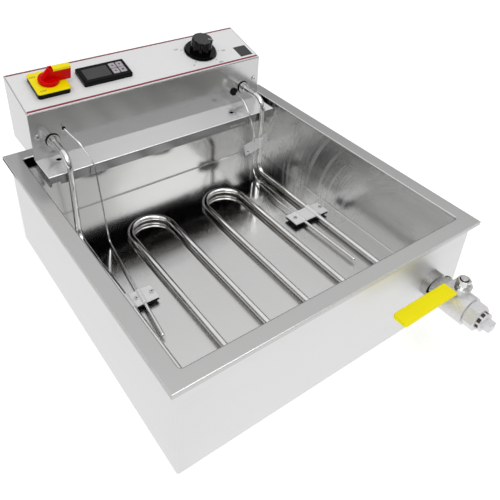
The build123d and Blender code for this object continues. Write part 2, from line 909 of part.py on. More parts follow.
def clamp_half(side, up):
    """Strap with a hump over the outer run and one over the bulb, pressed from above or below."""
    frame, length = bulb_frame(side)
    middle = clamp_middle(side)
    run = Pos(leg_x[side], middle, element_z) * Rot(X=90)
    reach = left_clamp_reach if side < 0 else right_clamp_reach
    x0, x1 = sorted((leg_x[side] + side * clamp_outer_reach, leg_x[side] - side * reach))
    half = clamp_length / 2
    low = (element_z + clamp_gap / 2) if up > 0 else (element_z - clamp_gap / 2 - clamp_sheet)
    strap = block((x0, middle - half, low), (x1, middle + half, low + clamp_sheet))
    rise = 2 * element_radius + clamp_sheet
    span = block((x0, middle - half, min(low, low + up * rise)),
                 (x1, middle + half, max(low + clamp_sheet, low + clamp_sheet + up * rise)))
    humps = run * rod(element_radius + clamp_sheet, -clamp_length, clamp_length)
    humps += frame * rod(bulb_radius + clamp_sheet, 0, length)
    strap += humps & span
    strap -= run * rod(element_radius + touch, -clamp_length, clamp_length)
    strap -= frame * rod(bulb_radius + touch, 0, length)
    for x in clamp_screw_xs(side):
        strap -= Pos(x, middle, low) * rod(clamp_screw_radius + touch, -past, clamp_sheet + past)
    return strap


def clamp_screws():
    """Two screws through each clamp."""
    screws = []
    top = element_z + clamp_gap / 2 + clamp_sheet
    bottom = element_z - clamp_gap / 2 - clamp_sheet
    for side in (-1, 1):
        for x in clamp_screw_xs(side):
            screw = rod(clamp_screw_head, top, top + clamp_screw_head_height)
            screw += rod(clamp_screw_radius, bottom - clamp_screw_head_height, top)
            screw += hexagon(2 * clamp_screw_head, bottom - clamp_screw_head_height, bottom)
            screws.append(Pos(x, clamp_middle(side), 0) * screw)
    return Compound(screws)


def leg_clip():
    """Tilted strip with an eye round the right leg and one round the capillary beside it."""
    level = element_z + clip_level
    leg = Pos(leg_x[1], leg_y, level)
    top, foot = capillary_points(1)[4:6]
    drop = Plane(foot, z_dir=Vector(*top) - Vector(*foot))
    span = Vector(*top).Z - Vector(*foot).Z
    half = clip_height / 2
    strip = block((-clip_inner_reach, -clip_sheet, -half), (clip_outer_reach, clip_sheet, half))
    eye = rod(element_radius + clip_sheet, -clip_grip / 2, clip_grip / 2)
    body = leg * (Rot(Y=-clip_tilt) * strip + eye)
    held = block((leg_x[1] - clip_inner_reach, leg_y - clip_grip, level - half),
                 (leg_x[1], leg_y + clip_grip, level + clip_sheet))
    body += (drop * rod(capillary_radius + clip_sheet, 0, span)) & held
    body -= leg * rod(element_radius + touch, -clip_height, clip_height)
    return body - drop * rod(capillary_radius + touch, 0, span)


# Controls on the panel

switch_frame = panel * Pos(switch_side, switch_up, overlay_sheet)
controller_frame = panel * Pos(controller_side, controller_up, overlay_sheet)
knob_frame = panel * Pos(knob_side, knob_up, overlay_sheet)
plate_top = switch_base_height + switch_plate_sheet
under_panel = -overlay_sheet - head_sheet
keys_reach = key_inset + (key_pitch + key_width) / 2
window_width = controller_width - window_inset - window_gap - keys_reach
window_x = window_inset + window_width / 2 - controller_width / 2


def switch_base():
    """Black block between the panel and the plate."""
    size = switch_size - 2 * switch_base_inset
    base = plate(size, size, switch_corner, 0, switch_base_height)
    return switch_frame * (base - rod(switch_shaft_radius + running, 0, switch_base_height))


def switch_plate():
    """Square plate on top of the switch base."""
    sheet = plate(switch_size, switch_size, switch_corner, switch_base_height, plate_top)
    sheet = chamfer(sheet.faces().sort_by(Axis.Z)[-1].edges(), switch_plate_chamfer)
    return switch_frame * (sheet - rod(switch_shaft_radius + running, 0, plate_top))


def switch_body():
    """Contact block of the switch, behind the panel."""
    low = under_panel - switch_body_depth
    body = plate(switch_body_size, switch_body_size, switch_corner, low, under_panel)
    socket = rod(switch_shaft_radius + running, under_panel - switch_body_depth / 2, under_panel)
    return switch_frame * (body - socket)


def switch_shaft():
    """Spindle from the contact block into the handle."""
    return switch_frame * rod(switch_shaft_radius, under_panel - switch_body_depth / 2 + free,
                              plate_top + free + handle_disc)


def switch_handle():
    """Round boss, a fin cut from a cone on one side and square on the other, a notch in its crest."""
    low = plate_top + free
    top = low + handle_fin_height
    half = handle_fin_width / 2
    disc = rod(handle_radius, low, low + handle_disc)
    disc = fillet(disc.edges().filter_by(GeomType.CIRCLE).sort_by(Axis.Z)[-1], handle_round)
    cone = Pos(0, 0, low) * Cone(handle_radius, handle_crown, handle_fin_height, align=BASE)
    fin = cone & block((-handle_radius, -half, low), (0, half, top))
    fin += block((0, -half, low), (handle_fin_front, half, top))
    fin = fillet(fin.edges().filter_by(Axis.Z).sort_by(Axis.X)[-2:], handle_edge)
    seat = block((insert_start, -half, top - insert_height), (handle_fin_front, half, top))
    notch_end = insert_start - touch
    notch = block((notch_end - notch_length, -half + notch_side, top - notch_depth),
                  (notch_end, half - notch_side, top))
    bore = rod(switch_shaft_radius + touch, low, low + handle_disc + touch)
    return switch_frame * (disc + fin - seat - notch - bore)


def switch_insert():
    """Bright strip along the top of the fin."""
    low = plate_top + free + handle_fin_height - insert_height
    half = handle_fin_width / 2
    strip = block((insert_start + touch, -half, low), (handle_fin_front, half, low + insert_height))
    strip = fillet(strip.edges().filter_by(Axis.Z).sort_by(Axis.X)[-2:], handle_edge)
    return switch_frame * fillet(strip.faces().sort_by(Axis.Z)[-1].edges(), insert_edge)


def key_places():
    """Centres of the four keys on the controller's face."""
    x = controller_width / 2 - key_inset
    dx = key_pitch / 2
    dy = key_row_pitch / 2
    return [(x - dx, dy), (x + dx, dy), (x - dx, -dy), (x + dx, -dy)]


def controller_case():
    """Bezel on the panel, body behind it, a recess for the window and wells for the keys."""
    bezel = plate(controller_width, controller_height, controller_corner, 0, controller_rise)
    bezel = chamfer(bezel.faces().sort_by(Axis.Z)[-1].edges(), bezel_chamfer)
    body = bezel + plate(controller_cutout_width, controller_cutout_height, cutout_corner,
                         under_panel - controller_depth, 0)
    body -= Pos(window_x, 0) * plate(window_width + 2 * touch, window_height + 2 * touch, window_corner,
                                     controller_rise - window_sheet, controller_rise)
    floor = controller_rise + key_rise - key_thickness - key_travel - free
    well = plate(key_width + 2 * free, key_height + 2 * free, key_corner + free, floor, controller_rise)
    for x, y in key_places():
        body -= Pos(x, y) * well
    return controller_frame * body


def controller_window():
    """Dark display window let into the bezel."""
    base = plate(window_width, window_height, window_corner, controller_rise - window_sheet, controller_rise)
    base = fillet(base.faces().sort_by(Axis.Z)[-1].edges(), window_edge)
    return controller_frame * Pos(window_x, 0) * base


def controller_key(x, y):
    """Rounded key standing a little proud of the bezel."""
    top = controller_rise + key_rise
    key = plate(key_width, key_height, key_corner, top - key_thickness, top)
    key = fillet(key.faces().sort_by(Axis.Z)[-1].edges(), key_edge)
    return controller_frame * Pos(x, y) * key


def thermostat_body():
    """Thermostat behind the panel, with its threaded bushing through it."""
    low = under_panel - thermostat_depth
    body = plate(thermostat_width, thermostat_height, thermostat_corner, low, under_panel)
    body += rod(bushing_radius, under_panel, bushing_rise)
    return knob_frame * (body - rod(shaft_radius + running, under_panel - shaft_depth, bushing_rise))


def thermostat_shaft():
    """Spindle from the thermostat into the knob."""
    return knob_frame * rod(shaft_radius, under_panel - shaft_depth + free, shaft_reach)


def thermostat_knob():
    """Wide skirt with a fluted, tapered grip."""
    low = bushing_rise + free
    skirt = Cone(knob_skirt, knob_skirt_top, knob_skirt_height, align=BASE)
    grip = Pos(0, 0, knob_skirt_height) * Cone(
        knob_grip, knob_grip_top, knob_height - knob_skirt_height, align=BASE)
    grip = fillet(grip.edges().filter_by(GeomType.CIRCLE).sort_by(Axis.Z)[-1], knob_round)
    offset = knob_grip + knob_flute_radius - knob_flute_depth
    for flute in PolarLocations(offset, knob_flutes):
        grip -= flute * rod(knob_flute_radius, knob_skirt_height, knob_height + past)
    knob = skirt + grip - rod(bushing_radius + free, 0, bushing_rise)
    bore = rod(shaft_radius + touch, 0, shaft_reach - low + touch)
    return knob_frame * Pos(0, 0, low) * (knob - bore)


# Inside and behind the head


def terminal_block():
    """Row of supply terminals on the bottom plate."""
    low = rim_top + head_sheet
    middle = head_back - head_sheet - terminal_depth
    body = block((-terminal_width / 2, middle - terminal_depth / 2, low),
                 (terminal_width / 2, middle + terminal_depth / 2, low + terminal_height))
    return chamfer(body.faces().sort_by(Axis.Z)[-1].edges().filter_by(Axis.X), terminal_chamfer)


def cord_gland():
    """Cable gland through the back cover: hexagon, domed nose and an inner nut."""
    body = hexagon(gland_hex, 0, gland_flats)
    body += Pos(0, 0, gland_flats) * Cone(gland_nose, gland_tip, gland_end - gland_flats, align=BASE)
    body += rod(gland_thread, -head_sheet - gland_thread, 0)
    body += hexagon(gland_hex, -head_sheet - gland_nut, -head_sheet)
    body -= rod(gland_bore, -head_sheet - gland_thread, gland_end)
    return facing_back(gland_side, rim_top + gland_height) * body


def head_screws():
    """Two screws in the front wall and four in the back cover."""
    def screw():
        head = rod(head_screw_head, 0, head_screw_head_height)
        head = fillet(head.edges().sort_by(Axis.Z)[-1], head_screw_round)
        return head + rod(head_screw_radius, -head_screw_length, 0)

    screws = [facing_front(x, z) * screw() for x, z in front_screw_places()]
    screws += [facing_back(x, z) * screw() for x, z in cover_screw_places()]
    return Compound(screws)


def all_parts():
    """Every piece under its node name."""
    parts = {"tank": tank(), "outer_casing": outer_casing(), "base_plate": base_plate()}
    foot_names = ("foot_front_left", "foot_front_right", "foot_back_left", "foot_back_right")
    for name, (x, y) in zip(foot_names, foot_places()):
        parts[name] = Pos(x, y, 0) * rubber_foot()
    parts["foot_screws"] = Compound([Pos(x, y, 0) * foot_screw() for x, y in foot_places()])
    parts["drain_coupling"] = drain_coupling()
    parts["drain_nipple"] = drain_nipple()
    parts["valve_body"] = valve_body()
    parts["valve_end_cap"] = valve_end_cap()
    parts["valve_seats"] = valve_seats()
    parts["packing_ring"] = packing_ring()
    parts["drain_plug"] = drain_plug()
    parts["valve_ball"] = valve_ball()
    parts["valve_stem"] = valve_stem()
    parts["valve_lever"] = valve_lever()
    parts["lever_sleeve"] = lever_sleeve()
    parts["lever_lock_plate"] = lock_plate()
    parts["lever_washer"] = lever_washer()
    parts["lever_nut"] = lever_nut()
    parts["head_shell"] = head_shell()
    parts["head_back_cover"] = head_back_cover()
    parts["head_bottom_plate"] = head_bottom_plate()
    parts["panel_overlay"] = panel_overlay()
    parts["shelf"] = shelf()
    parts["heating_element"] = heating_element()
    parts["element_gaskets"] = element_gaskets()
    for side, name in ((-1, "left"), (1, "right")):
        parts[f"element_fitting_{name}"] = element_fitting(side)
        parts[f"capillary_{name}"] = capillary(side)
        parts[f"sensor_bulb_{name}"] = sensor_bulb(side)
        parts[f"bulb_clamp_{name}"] = clamp_half(side, 1)
        parts[f"clamp_base_{name}"] = clamp_half(side, -1)
    parts["clamp_screws"] = clamp_screws()
    parts["leg_clip"] = leg_clip()
    parts["capillary_grommets"] = capillary_grommets()
    parts["switch_base"] = switch_base()
    parts["switch_plate"] = switch_plate()
    parts["switch_body"] = switch_body()
    parts["switch_shaft"] = switch_shaft()
    parts["switch_handle"] = switch_handle()
    parts["switch_insert"] = switch_insert()
    parts["controller_case"] = controller_case()
    parts["controller_window"] = controller_window()
    for index, (x, y) in enumerate(key_places(), start=1):
        parts[f"controller_key_{index}"] = controller_key(x, y)
    parts["thermostat_body"] = thermostat_body()
    parts["thermostat_shaft"] = thermostat_shaft()
    parts["thermostat_knob"] = thermostat_knob()
    parts["terminal_block"] = terminal_block()
    parts["cord_gland"] = cord_gland()
    parts["head_screws"] = head_screws()
    return parts


os.makedirs("parts", exist_ok=True)
for node, shape in all_parts().items():
    export_step(Pos(0, -origin_y, 0) * shape, f"parts/{node}.step")
print(f"origin moved by {-origin_y:.3f} mm along Y")
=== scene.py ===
# %% [markdown]
# # Dressing a countertop fryer
# The frame holds every solid of the fryer in metres: a double-walled pan, a control head that lifts off its
# rear rim, a serpentine heating element and a drain ball valve. What it lacks is what the eye reads first:
# finishes, print, screw recesses and sealant. All of that could be painted on one image, but here each
# finish is a recipe of its own and each small piece a mesh on the body that carries it, because then both
# can be read and changed one by one. Nothing added later may outgrow the box that the solids fill.

# %% Load the frame
import json
import math

import bmesh
import bpy
from mathutils import Matrix, Vector


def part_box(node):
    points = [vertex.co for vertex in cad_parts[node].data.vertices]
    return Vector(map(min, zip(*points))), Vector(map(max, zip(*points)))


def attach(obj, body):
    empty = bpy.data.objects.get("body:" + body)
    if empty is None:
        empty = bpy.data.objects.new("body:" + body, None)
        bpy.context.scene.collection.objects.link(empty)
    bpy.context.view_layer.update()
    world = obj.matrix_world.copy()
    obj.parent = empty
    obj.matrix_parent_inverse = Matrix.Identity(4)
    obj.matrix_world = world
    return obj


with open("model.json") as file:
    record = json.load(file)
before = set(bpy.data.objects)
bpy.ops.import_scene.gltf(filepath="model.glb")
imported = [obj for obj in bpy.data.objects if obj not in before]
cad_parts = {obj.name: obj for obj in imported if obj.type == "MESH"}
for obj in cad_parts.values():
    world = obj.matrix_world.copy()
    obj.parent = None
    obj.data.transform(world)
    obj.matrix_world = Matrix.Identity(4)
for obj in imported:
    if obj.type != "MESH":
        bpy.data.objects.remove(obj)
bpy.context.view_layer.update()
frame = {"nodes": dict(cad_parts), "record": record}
nodes = frame["nodes"]

# %% [markdown]
# ## The camera
# The fryer is seen as in a product photograph, from its front left corner and from above the rim. A camera
# can be aimed by eye, or worked out from where the pan's corners lie in the picture. It was worked out,
# because then every edge can be compared with the real one. The lens shift moves the picture sideways and
# up without tilting the uprights.

# %% Set the camera
IMAGE_SIDE = 500
FOCAL_PIXELS = 595.0
PRINCIPAL_POINT = (242.0, 168.0)
SENSOR_WIDTH = 36.0
NEAREST_SEEN = 0.01
CAMERA_PLACE = Vector((-0.407, -0.5379, 0.648))
AZIMUTH_ELEVATION_ROLL = (-37.61, 33.49, 2.91)
scene = bpy.context.scene
scene.view_settings.view_transform = "Standard"

camera_data = bpy.data.cameras.new("photo_camera")
camera = bpy.data.objects.new("photo_camera", camera_data)
scene.collection.objects.link(camera)
scene.camera = camera
camera_data.sensor_width = SENSOR_WIDTH
camera_data.lens = SENSOR_WIDTH * FOCAL_PIXELS / IMAGE_SIDE
camera_data.shift_x = (IMAGE_SIDE / 2 - PRINCIPAL_POINT[0]) / IMAGE_SIDE
camera_data.shift_y = (PRINCIPAL_POINT[1] - IMAGE_SIDE / 2) / IMAGE_SIDE
camera_data.clip_start = NEAREST_SEEN

azimuth, elevation, roll = (math.radians(angle) for angle in AZIMUTH_ELEVATION_ROLL)
back = Vector((math.sin(azimuth) * math.cos(elevation), -math.cos(azimuth) * math.cos(elevation),
               math.sin(elevation)))
right = Vector((math.cos(azimuth), math.sin(azimuth), 0.0))
up = back.cross(right)
rolled_right = math.cos(roll) * right + math.sin(roll) * up
rolled_up = math.cos(roll) * up - math.sin(roll) * right
turn = Matrix((rolled_right, rolled_up, back)).transposed().to_4x4()
camera.matrix_world = Matrix.Translation(CAMERA_PLACE) @ turn
print("camera lens", round(camera_data.lens, 2), "mm")

# %% [markdown]
# ## Colour, nodes and the start of a finish
# A finish is a small chain of nodes that ends in a shader. The chain could be clicked together by hand, but
# written down it can be read, compared and used again. Colours are sRGB hex values, as picked on a screen,
# and one function turns them to the linear values that the shader works with. One more function adds a node
# with its settings and links. Every finish starts with a bevel node, which rounds the normals near an edge:
# folded sheet and moulded plastic then catch a thin line of light there, at no cost in faces.

# %% Colour and node helpers
MM = 0.001
EDGE_ROUND = 0.5 * MM
finishes = {}


def colour(hex_code):
    """Linear RGBA from an sRGB hex value."""
    channels = [int(hex_code[i:i + 2], 16) / 255 for i in (1, 3, 5)]
    linear = [c / 12.92 if c <= 0.04045 else ((c + 0.055) / 1.055) ** 2.4 for c in channels]
    return (*linear, 1.0)


def add_node(tree, kind, inputs=(), **settings):
    """Add a node, set its properties, and set or link its inputs by name or number."""
    node = tree.nodes.new(kind)
    for name, value in settings.items():
        setattr(node, name, value)
    for key, value in dict(inputs).items():
        if isinstance(value, bpy.types.NodeSocket):
            tree.links.new(value, node.inputs[key])
        else:
            node.inputs[key].default_value = value
    return node


def new_finish(name, edge_round=EDGE_ROUND):
    """A material with its shader and output joined, its object coordinates and its rounded normals."""
    material = bpy.data.materials.new(name)
    material.use_nodes = True
    tree = material.node_tree
    tree.nodes.clear()
    shader = add_node(tree, "ShaderNodeBsdfPrincipled")
    add_node(tree, "ShaderNodeOutputMaterial", {"Surface": shader.outputs["BSDF"]})
    place = add_node(tree, "ShaderNodeTexCoord").outputs["Object"]
    edge = add_node(tree, "ShaderNodeBevel", {"Radius": edge_round}, samples=4).outputs[0]
    return material, tree, shader, place, edge


print("white is", colour("#FFFFFF")[:3])

# %% [markdown]
# ## The white sweep
# In the studio the fryer stands on white paper that curves up behind it. A curved sheet could be modelled,
# but a flat floor under a white world looks the same from here, so the floor is one square. Paper alone
# would render grey, so it glows a little too and still takes the pan's soft shadow. Polished metal asks for
# the floor with a glossy ray, and is shown an even white.

# %% White sweep
FLOOR_HALF = 6.0
PAPER_GLOW = 0.42
PAPER_SEEN_IN_METAL = 1.0

floor_mesh = bpy.data.meshes.new("floor")
sketch = bmesh.new()
bmesh.ops.create_grid(sketch, x_segments=1, y_segments=1, size=FLOOR_HALF)
sketch.to_mesh(floor_mesh)
sketch.free()
floor = bpy.data.objects.new("floor", floor_mesh)
scene.collection.objects.link(floor)

# Matt paper: it spreads all light evenly, so nothing but the shadow shows on it.
matt_paper = bpy.data.materials.new("matt_white_paper")
matt_paper.use_nodes = True
tree = matt_paper.node_tree
tree.nodes.clear()
paper = add_node(tree, "ShaderNodeBsdfDiffuse", {"Color": colour("#F4F4F4")})
glow = add_node(tree, "ShaderNodeEmission", {"Color": colour("#FFFFFF"), "Strength": PAPER_GLOW})
both = add_node(tree, "ShaderNodeAddShader", {0: paper.outputs[0], 1: glow.outputs[0]})
even = add_node(tree, "ShaderNodeEmission", {"Color": colour("#FFFFFF"), "Strength": PAPER_SEEN_IN_METAL})
mirrored = add_node(tree, "ShaderNodeLightPath").outputs["Is Glossy Ray"]
sweep = add_node(tree, "ShaderNodeMixShader", {0: mirrored, 1: both.outputs[0], 2: even.outputs[0]})
add_node(tree, "ShaderNodeOutputMaterial", {"Surface": sweep.outputs[0]})
floor_mesh.materials.append(matt_paper)
print("white sweep", 2 * FLOOR_HALF, "m wide")

# %% [markdown]
# ## The studio room
# Polished steel has hardly a colour of its own: its black and white streaks are the edges of what it
# mirrors. So the world is a room, dark at the horizon, where the unlit studio shows past the sweep, and
# brighter the higher it gets, up to the ceiling lights. A picture of a real room could be wrapped round the
# scene, but a ramp of greys by height needs no file, and each grey can be matched to a streak.

# %% Studio room
ROOM_STRENGTH = 1.2
ROOM_BY_HEIGHT = ((0.0, "#5E5E5E"), (0.2, "#686868"), (0.45, "#A0A0A0"), (0.6, "#C4C4C4"),
                  (0.75, "#C6C6C6"), (1.0, "#DEDEDE"))
world = bpy.data.worlds.new("studio")
scene.world = world
world.use_nodes = True
room_tree = world.node_tree
room_tree.nodes.clear()
direction = add_node(room_tree, "ShaderNodeTexCoord").outputs["Generated"]
height = add_node(room_tree, "ShaderNodeSeparateXYZ", {0: direction}).outputs["Z"]
ramp = add_node(room_tree, "ShaderNodeValToRGB", {0: height})
stops = ramp.color_ramp.elements
while len(stops) < len(ROOM_BY_HEIGHT):
    stops.new(0.5)
for stop, (level, shade) in zip(stops, ROOM_BY_HEIGHT):
    stop.position = level
    stop.color = colour(shade)
wall = add_node(room_tree, "ShaderNodeBackground", {"Color": ramp.outputs[0], "Strength": ROOM_STRENGTH})
print("room in", len(stops), "greys")

# %% [markdown]
# ## The window in the room
# A soft bright window stands in front, to the right of the camera, where the tank's rear wall mirrors it as
# a broad pale patch. An area lamp there would also light the pan's outside, so the window is only a soft
# oval in the world: a direction is measured along and up the window, and the oval fades at its edge. The
# camera itself sees plain white, which is the background of the picture.

# %% Window and background
WINDOW_TOWARDS = Vector((0.449, -0.7047, 0.5509))
WINDOW_ALONG = Vector((0.887, 0.173, -0.428))
WINDOW_UP = WINDOW_TOWARDS.cross(WINDOW_ALONG)
WINDOW_HALF = (0.115, 0.085)
WINDOW_FADE = (1.3, 0.6)
WINDOW_STRENGTH = 0.6
tree = room_tree
offsets = []
for axis, half in zip((WINDOW_ALONG, WINDOW_UP), WINDOW_HALF):
    offset = add_node(tree, "ShaderNodeVectorMath", {0: direction, 1: axis / half}, operation="DOT_PRODUCT")
    offsets.append(offset.outputs["Value"])
on_window = add_node(tree, "ShaderNodeCombineXYZ", {0: offsets[0], 1: offsets[1]}).outputs[0]
apart = add_node(tree, "ShaderNodeVectorMath", {0: on_window}, operation="LENGTH").outputs["Value"]
oval = add_node(tree, "ShaderNodeMapRange",
                {"Value": apart, "From Min": WINDOW_FADE[0], "From Max": WINDOW_FADE[1],
                 "To Max": WINDOW_STRENGTH}, interpolation_type="SMOOTHSTEP").outputs[0]
ahead = add_node(tree, "ShaderNodeVectorMath", {0: direction, 1: WINDOW_TOWARDS}, operation="DOT_PRODUCT")
in_front = add_node(tree, "ShaderNodeMath", {0: ahead.outputs["Value"], 1: 0.0}, operation="GREATER_THAN")
window = add_node(tree, "ShaderNodeMath", {0: oval, 1: in_front.outputs[0]}, operation="MULTIPLY").outputs[0]
pane = add_node(tree, "ShaderNodeBackground", {"Color": colour("#FFFFFF"), "Strength": window})
room = add_node(tree, "ShaderNodeAddShader", {0: wall.outputs[0], 1: pane.outputs[0]})
white = add_node(tree, "ShaderNodeBackground", {"Color": colour("#FFFFFF"), "Strength": 1.0})
seen = add_node(tree, "ShaderNodeLightPath").outputs["Is Camera Ray"]
shown = add_node(tree, "ShaderNodeMixShader", {0: seen, 1: room.outputs[0], 2: white.outputs[0]})
add_node(tree, "ShaderNodeOutputWorld", {"Surface": shown.outputs[0]})
print("window about", [round(2 * math.degrees(math.atan(half))) for half in WINDOW_HALF], "degrees across")

# %% [markdown]
# ## The lamps
# A small product studio lights metal with soft boxes, which are lamps behind a square of white cloth. A sun
# or point lamps would leave a hard spark in every bend of the tube, so two large area lamps are used: a key
# above the left shoulder, and one high over the pan. None stands behind the pan, because the rim and the
# tank floor would mirror it into the camera.

# %% Soft boxes
SOFT_BOXES = {"key_box": {"place": (-1.3, -1.0, 2.2), "size": 1.4, "power": 12.0},
              "top_box": {"place": (0.6, -0.6, 2.6), "size": 1.2, "power": 8.0}}
LAMPS_AIM = Vector((0.0, 0.0, 0.1))
for name, box in SOFT_BOXES.items():
    lamp = bpy.data.lights.new(name, "AREA")
    lamp.size = box["size"]
    lamp.energy = box["power"]
    holder = bpy.data.objects.new(name, lamp)
    holder.location = box["place"]
    holder.rotation_euler = (Vector(box["place"]) - LAMPS_AIM).to_track_quat("Z", "Y").to_euler()
    scene.collection.objects.link(holder)
print(len(SOFT_BOXES), "soft boxes")

# %% [markdown]
# ## Stainless sheet
# Pan, head and shelf are folded from cold-rolled stainless sheet that was rubbed along its length. That
# grain smears what the sheet mirrors. An anisotropic shader could smear it too, but needs a tangent on every
# face; noise that is stretched along the sheet works on any fold, so it varies the roughness and makes a
# faint relief. The real grain is about 0.1 mm apart, and is drawn 1 mm apart so that it shows at this size.
# Welded sheet is never flat either, so a slow wave bends what it mirrors.

# %% Stainless sheet
SHEET_FOLD = 1.2 * MM
GRAIN_APART = 1 * MM
GRAIN_LENGTH = 60 * MM
GRAIN_HEIGHT = 0.2 * MM
WAVE_LENGTH = 91 * MM
SIDE_FACING = 0.7
NOISE_LOW = 0.3
NOISE_HIGH = 0.7


def stainless_sheet(name, hex_code, smooth, rough, wave, grain_depth=0.022, fall=0.0):
    """Rolled sheet: grain along X on faces that look to Y or Z, along Y on faces that look to X."""
    material, tree, shader, place, edge = new_finish(name, SHEET_FOLD)
    across = 1 / GRAIN_APART
    along = 1 / GRAIN_LENGTH
    lengthwise = add_node(tree, "ShaderNodeMapping", {"Vector": place, "Scale": (along, across, across)})
    sideways = add_node(tree, "ShaderNodeMapping", {"Vector": place, "Scale": (across, along, across)})
    facing = add_node(tree, "ShaderNodeNewGeometry").outputs["Normal"]
    facing_x = add_node(tree, "ShaderNodeSeparateXYZ", {0: facing}).outputs["X"]
    steep = add_node(tree, "ShaderNodeMath", {0: facing_x}, operation="ABSOLUTE").outputs[0]
    on_side = add_node(tree, "ShaderNodeMath", {0: steep, 1: SIDE_FACING}, operation="GREATER_THAN")
    grain_place = add_node(tree, "ShaderNodeMix",
                           {"Factor": on_side.outputs[0], "A": lengthwise.outputs[0],
                            "B": sideways.outputs[0]}, data_type="VECTOR")
    grain = add_node(tree, "ShaderNodeTexNoise", {"Vector": grain_place.outputs["Result"], "Scale": 1.0,
                                                  "Detail": 3.0}).outputs["Fac"]
    roughness = add_node(tree, "ShaderNodeMapRange",
                         {"Value": grain, "From Min": NOISE_LOW, "From Max": NOISE_HIGH,
                          "To Min": smooth, "To Max": rough}).outputs[0]
    slow = add_node(tree, "ShaderNodeTexNoise", {"Vector": place, "Scale": 1 / WAVE_LENGTH,
                                                 "Detail": 1.0}).outputs["Fac"]
    back_to_front = add_node(tree, "ShaderNodeSeparateXYZ", {0: place}).outputs["Y"]
    slope = add_node(tree, "ShaderNodeBump", {"Height": back_to_front, "Distance": fall, "Normal": edge})
    waved = add_node(tree, "ShaderNodeBump", {"Height": slow, "Distance": wave, "Normal": slope.outputs[0]})
    relief = add_node(tree, "ShaderNodeBump", {"Height": grain, "Strength": grain_depth,
                                               "Distance": GRAIN_HEIGHT, "Normal": waved.outputs[0]})
    shader.inputs["Base Color"].default_value = colour(hex_code)
    shader.inputs["Metallic"].default_value = 1.0
    tree.links.new(roughness, shader.inputs["Roughness"])
    tree.links.new(relief.outputs[0], shader.inputs["Normal"])
    return material


print("grain", round(GRAIN_LENGTH / GRAIN_APART), "times as long as wide")

# %% [markdown]
# ## Four grades of the same sheet
# The maker buys one steel in several finishes: coarse brushed for the casing, fine brushed for the head and
# bright rolled for the tank, while the shelf has been rubbed by hand. Four separate materials could be
# built, but they differ only in colour, roughness and wave, so one recipe makes them all. The shelf falls
# to the front by a few degrees, which is put in its normals because the solids are never bent here.

# %% Grades of sheet
SHELF_FALL = math.tan(math.radians(4.0))
# Casing: a coarse belt leaves it satin, so the white studio spreads over it as an even pale grey.
finishes["stainless_sheet"] = stainless_sheet("coarse_brushed_stainless_steel", "#EAEAEA", smooth=0.46,
                                              rough=0.56, wave=0.4 * MM)
# Head: a fine belt leaves it greyer, and the rim and the shelf still show in it as soft streaks.
finishes["head_stainless"] = stainless_sheet("fine_brushed_stainless_steel", "#CECECE", smooth=0.14,
                                             rough=0.22, wave=0.3 * MM)
# Shelf: rubbed by hand along its length, it is bright with a soft smear.
finishes["shelf_stainless"] = stainless_sheet("hand_rubbed_stainless_steel", "#F6F6F6", smooth=0.15,
                                              rough=0.22, wave=0.5 * MM, fall=SHELF_FALL)
# Tank: bright from the rolling mill, so that walls, floor and heater mirror each other.
finishes["tank_stainless"] = stainless_sheet("bright_rolled_stainless_steel", "#E8E8E7", smooth=0.105,
                                             rough=0.115, wave=0.4 * MM, grain_depth=0.006)
print(len(finishes), "grades of stainless sheet")

# %% [markdown]
# ## Rim, lip and edge of the tank
# The tank's rim is brushed after welding, while the inside stays bright, and the rounded edge of the rim
# gets a nearly white painted highlight. Such places could be painted on an image or given materials of their
# own, face by face. The tank is a plain box, though, so a mask worked out from where a point lies and which
# way it faces finds them all, and one number moves it.

# %% Rim masks
# The tank's opening inside the rim, in metres: its middle and half its size. The zeros leave height out.
WELL_MIDDLE = (0.0, 0.0161, 0.0)
WELL_HALF = (0.2177, 0.2247, 0.0)
# How far a face's normal points up or down: less is upright, more is flat, and between the two is a bend.
UPRIGHT_BELOW = 0.5
FLAT_ABOVE = 0.95


def opened(finish):
    """The nodes, the shader and the object coordinates of a finish that is to be worn."""
    tree = finishes[finish].node_tree
    shader = next(node for node in tree.nodes if node.type == "BSDF_PRINCIPLED")
    place = next(node for node in tree.nodes if node.type == "TEX_COORD").outputs["Object"]
    return tree, shader, place


tree, shader, place = opened("tank_stainless")
offset = add_node(tree, "ShaderNodeVectorMath", {0: place, 1: WELL_MIDDLE}, operation="SUBTRACT").outputs[0]
apart = add_node(tree, "ShaderNodeVectorMath", {0: offset}, operation="ABSOLUTE").outputs[0]
past = add_node(tree, "ShaderNodeVectorMath", {0: apart, 1: WELL_HALF}, operation="SUBTRACT").outputs[0]
past = add_node(tree, "ShaderNodeSeparateXYZ", {0: past}).outputs
furthest = add_node(tree, "ShaderNodeMath", {0: past["X"], 1: past["Y"]}, operation="MAXIMUM").outputs[0]
rim = add_node(tree, "ShaderNodeMath", {0: furthest, 1: 0.0}, operation="GREATER_THAN").outputs[0]
normal = add_node(tree, "ShaderNodeNewGeometry").outputs["Normal"]
normal = add_node(tree, "ShaderNodeVectorMath", {0: normal}, operation="ABSOLUTE").outputs[0]
facing = add_node(tree, "ShaderNodeSeparateXYZ", {0: normal}).outputs
upright = add_node(tree, "ShaderNodeMath", {0: facing["Z"], 1: UPRIGHT_BELOW},
                   operation="LESS_THAN").outputs[0]
lip = add_node(tree, "ShaderNodeMath", {0: upright, 1: rim}, operation="MULTIPLY").outputs[0]
# The rounded edge of the rim, between upright and flat, is painted near white: a painted highlight.
bent = add_node(tree, "ShaderNodeMath", {0: facing["Z"], 1: FLAT_ABOVE}, operation="LESS_THAN").outputs[0]
bent = add_node(tree, "ShaderNodeMath", {0: bent, 1: upright}, operation="SUBTRACT").outputs[0]
rim_edge = add_node(tree, "ShaderNodeMath", {0: bent, 1: rim}, operation="MULTIPLY").outputs[0]
print("rim lies outside an opening of", [round(2 * half / MM) for half in WELL_HALF[:2]], "mm")
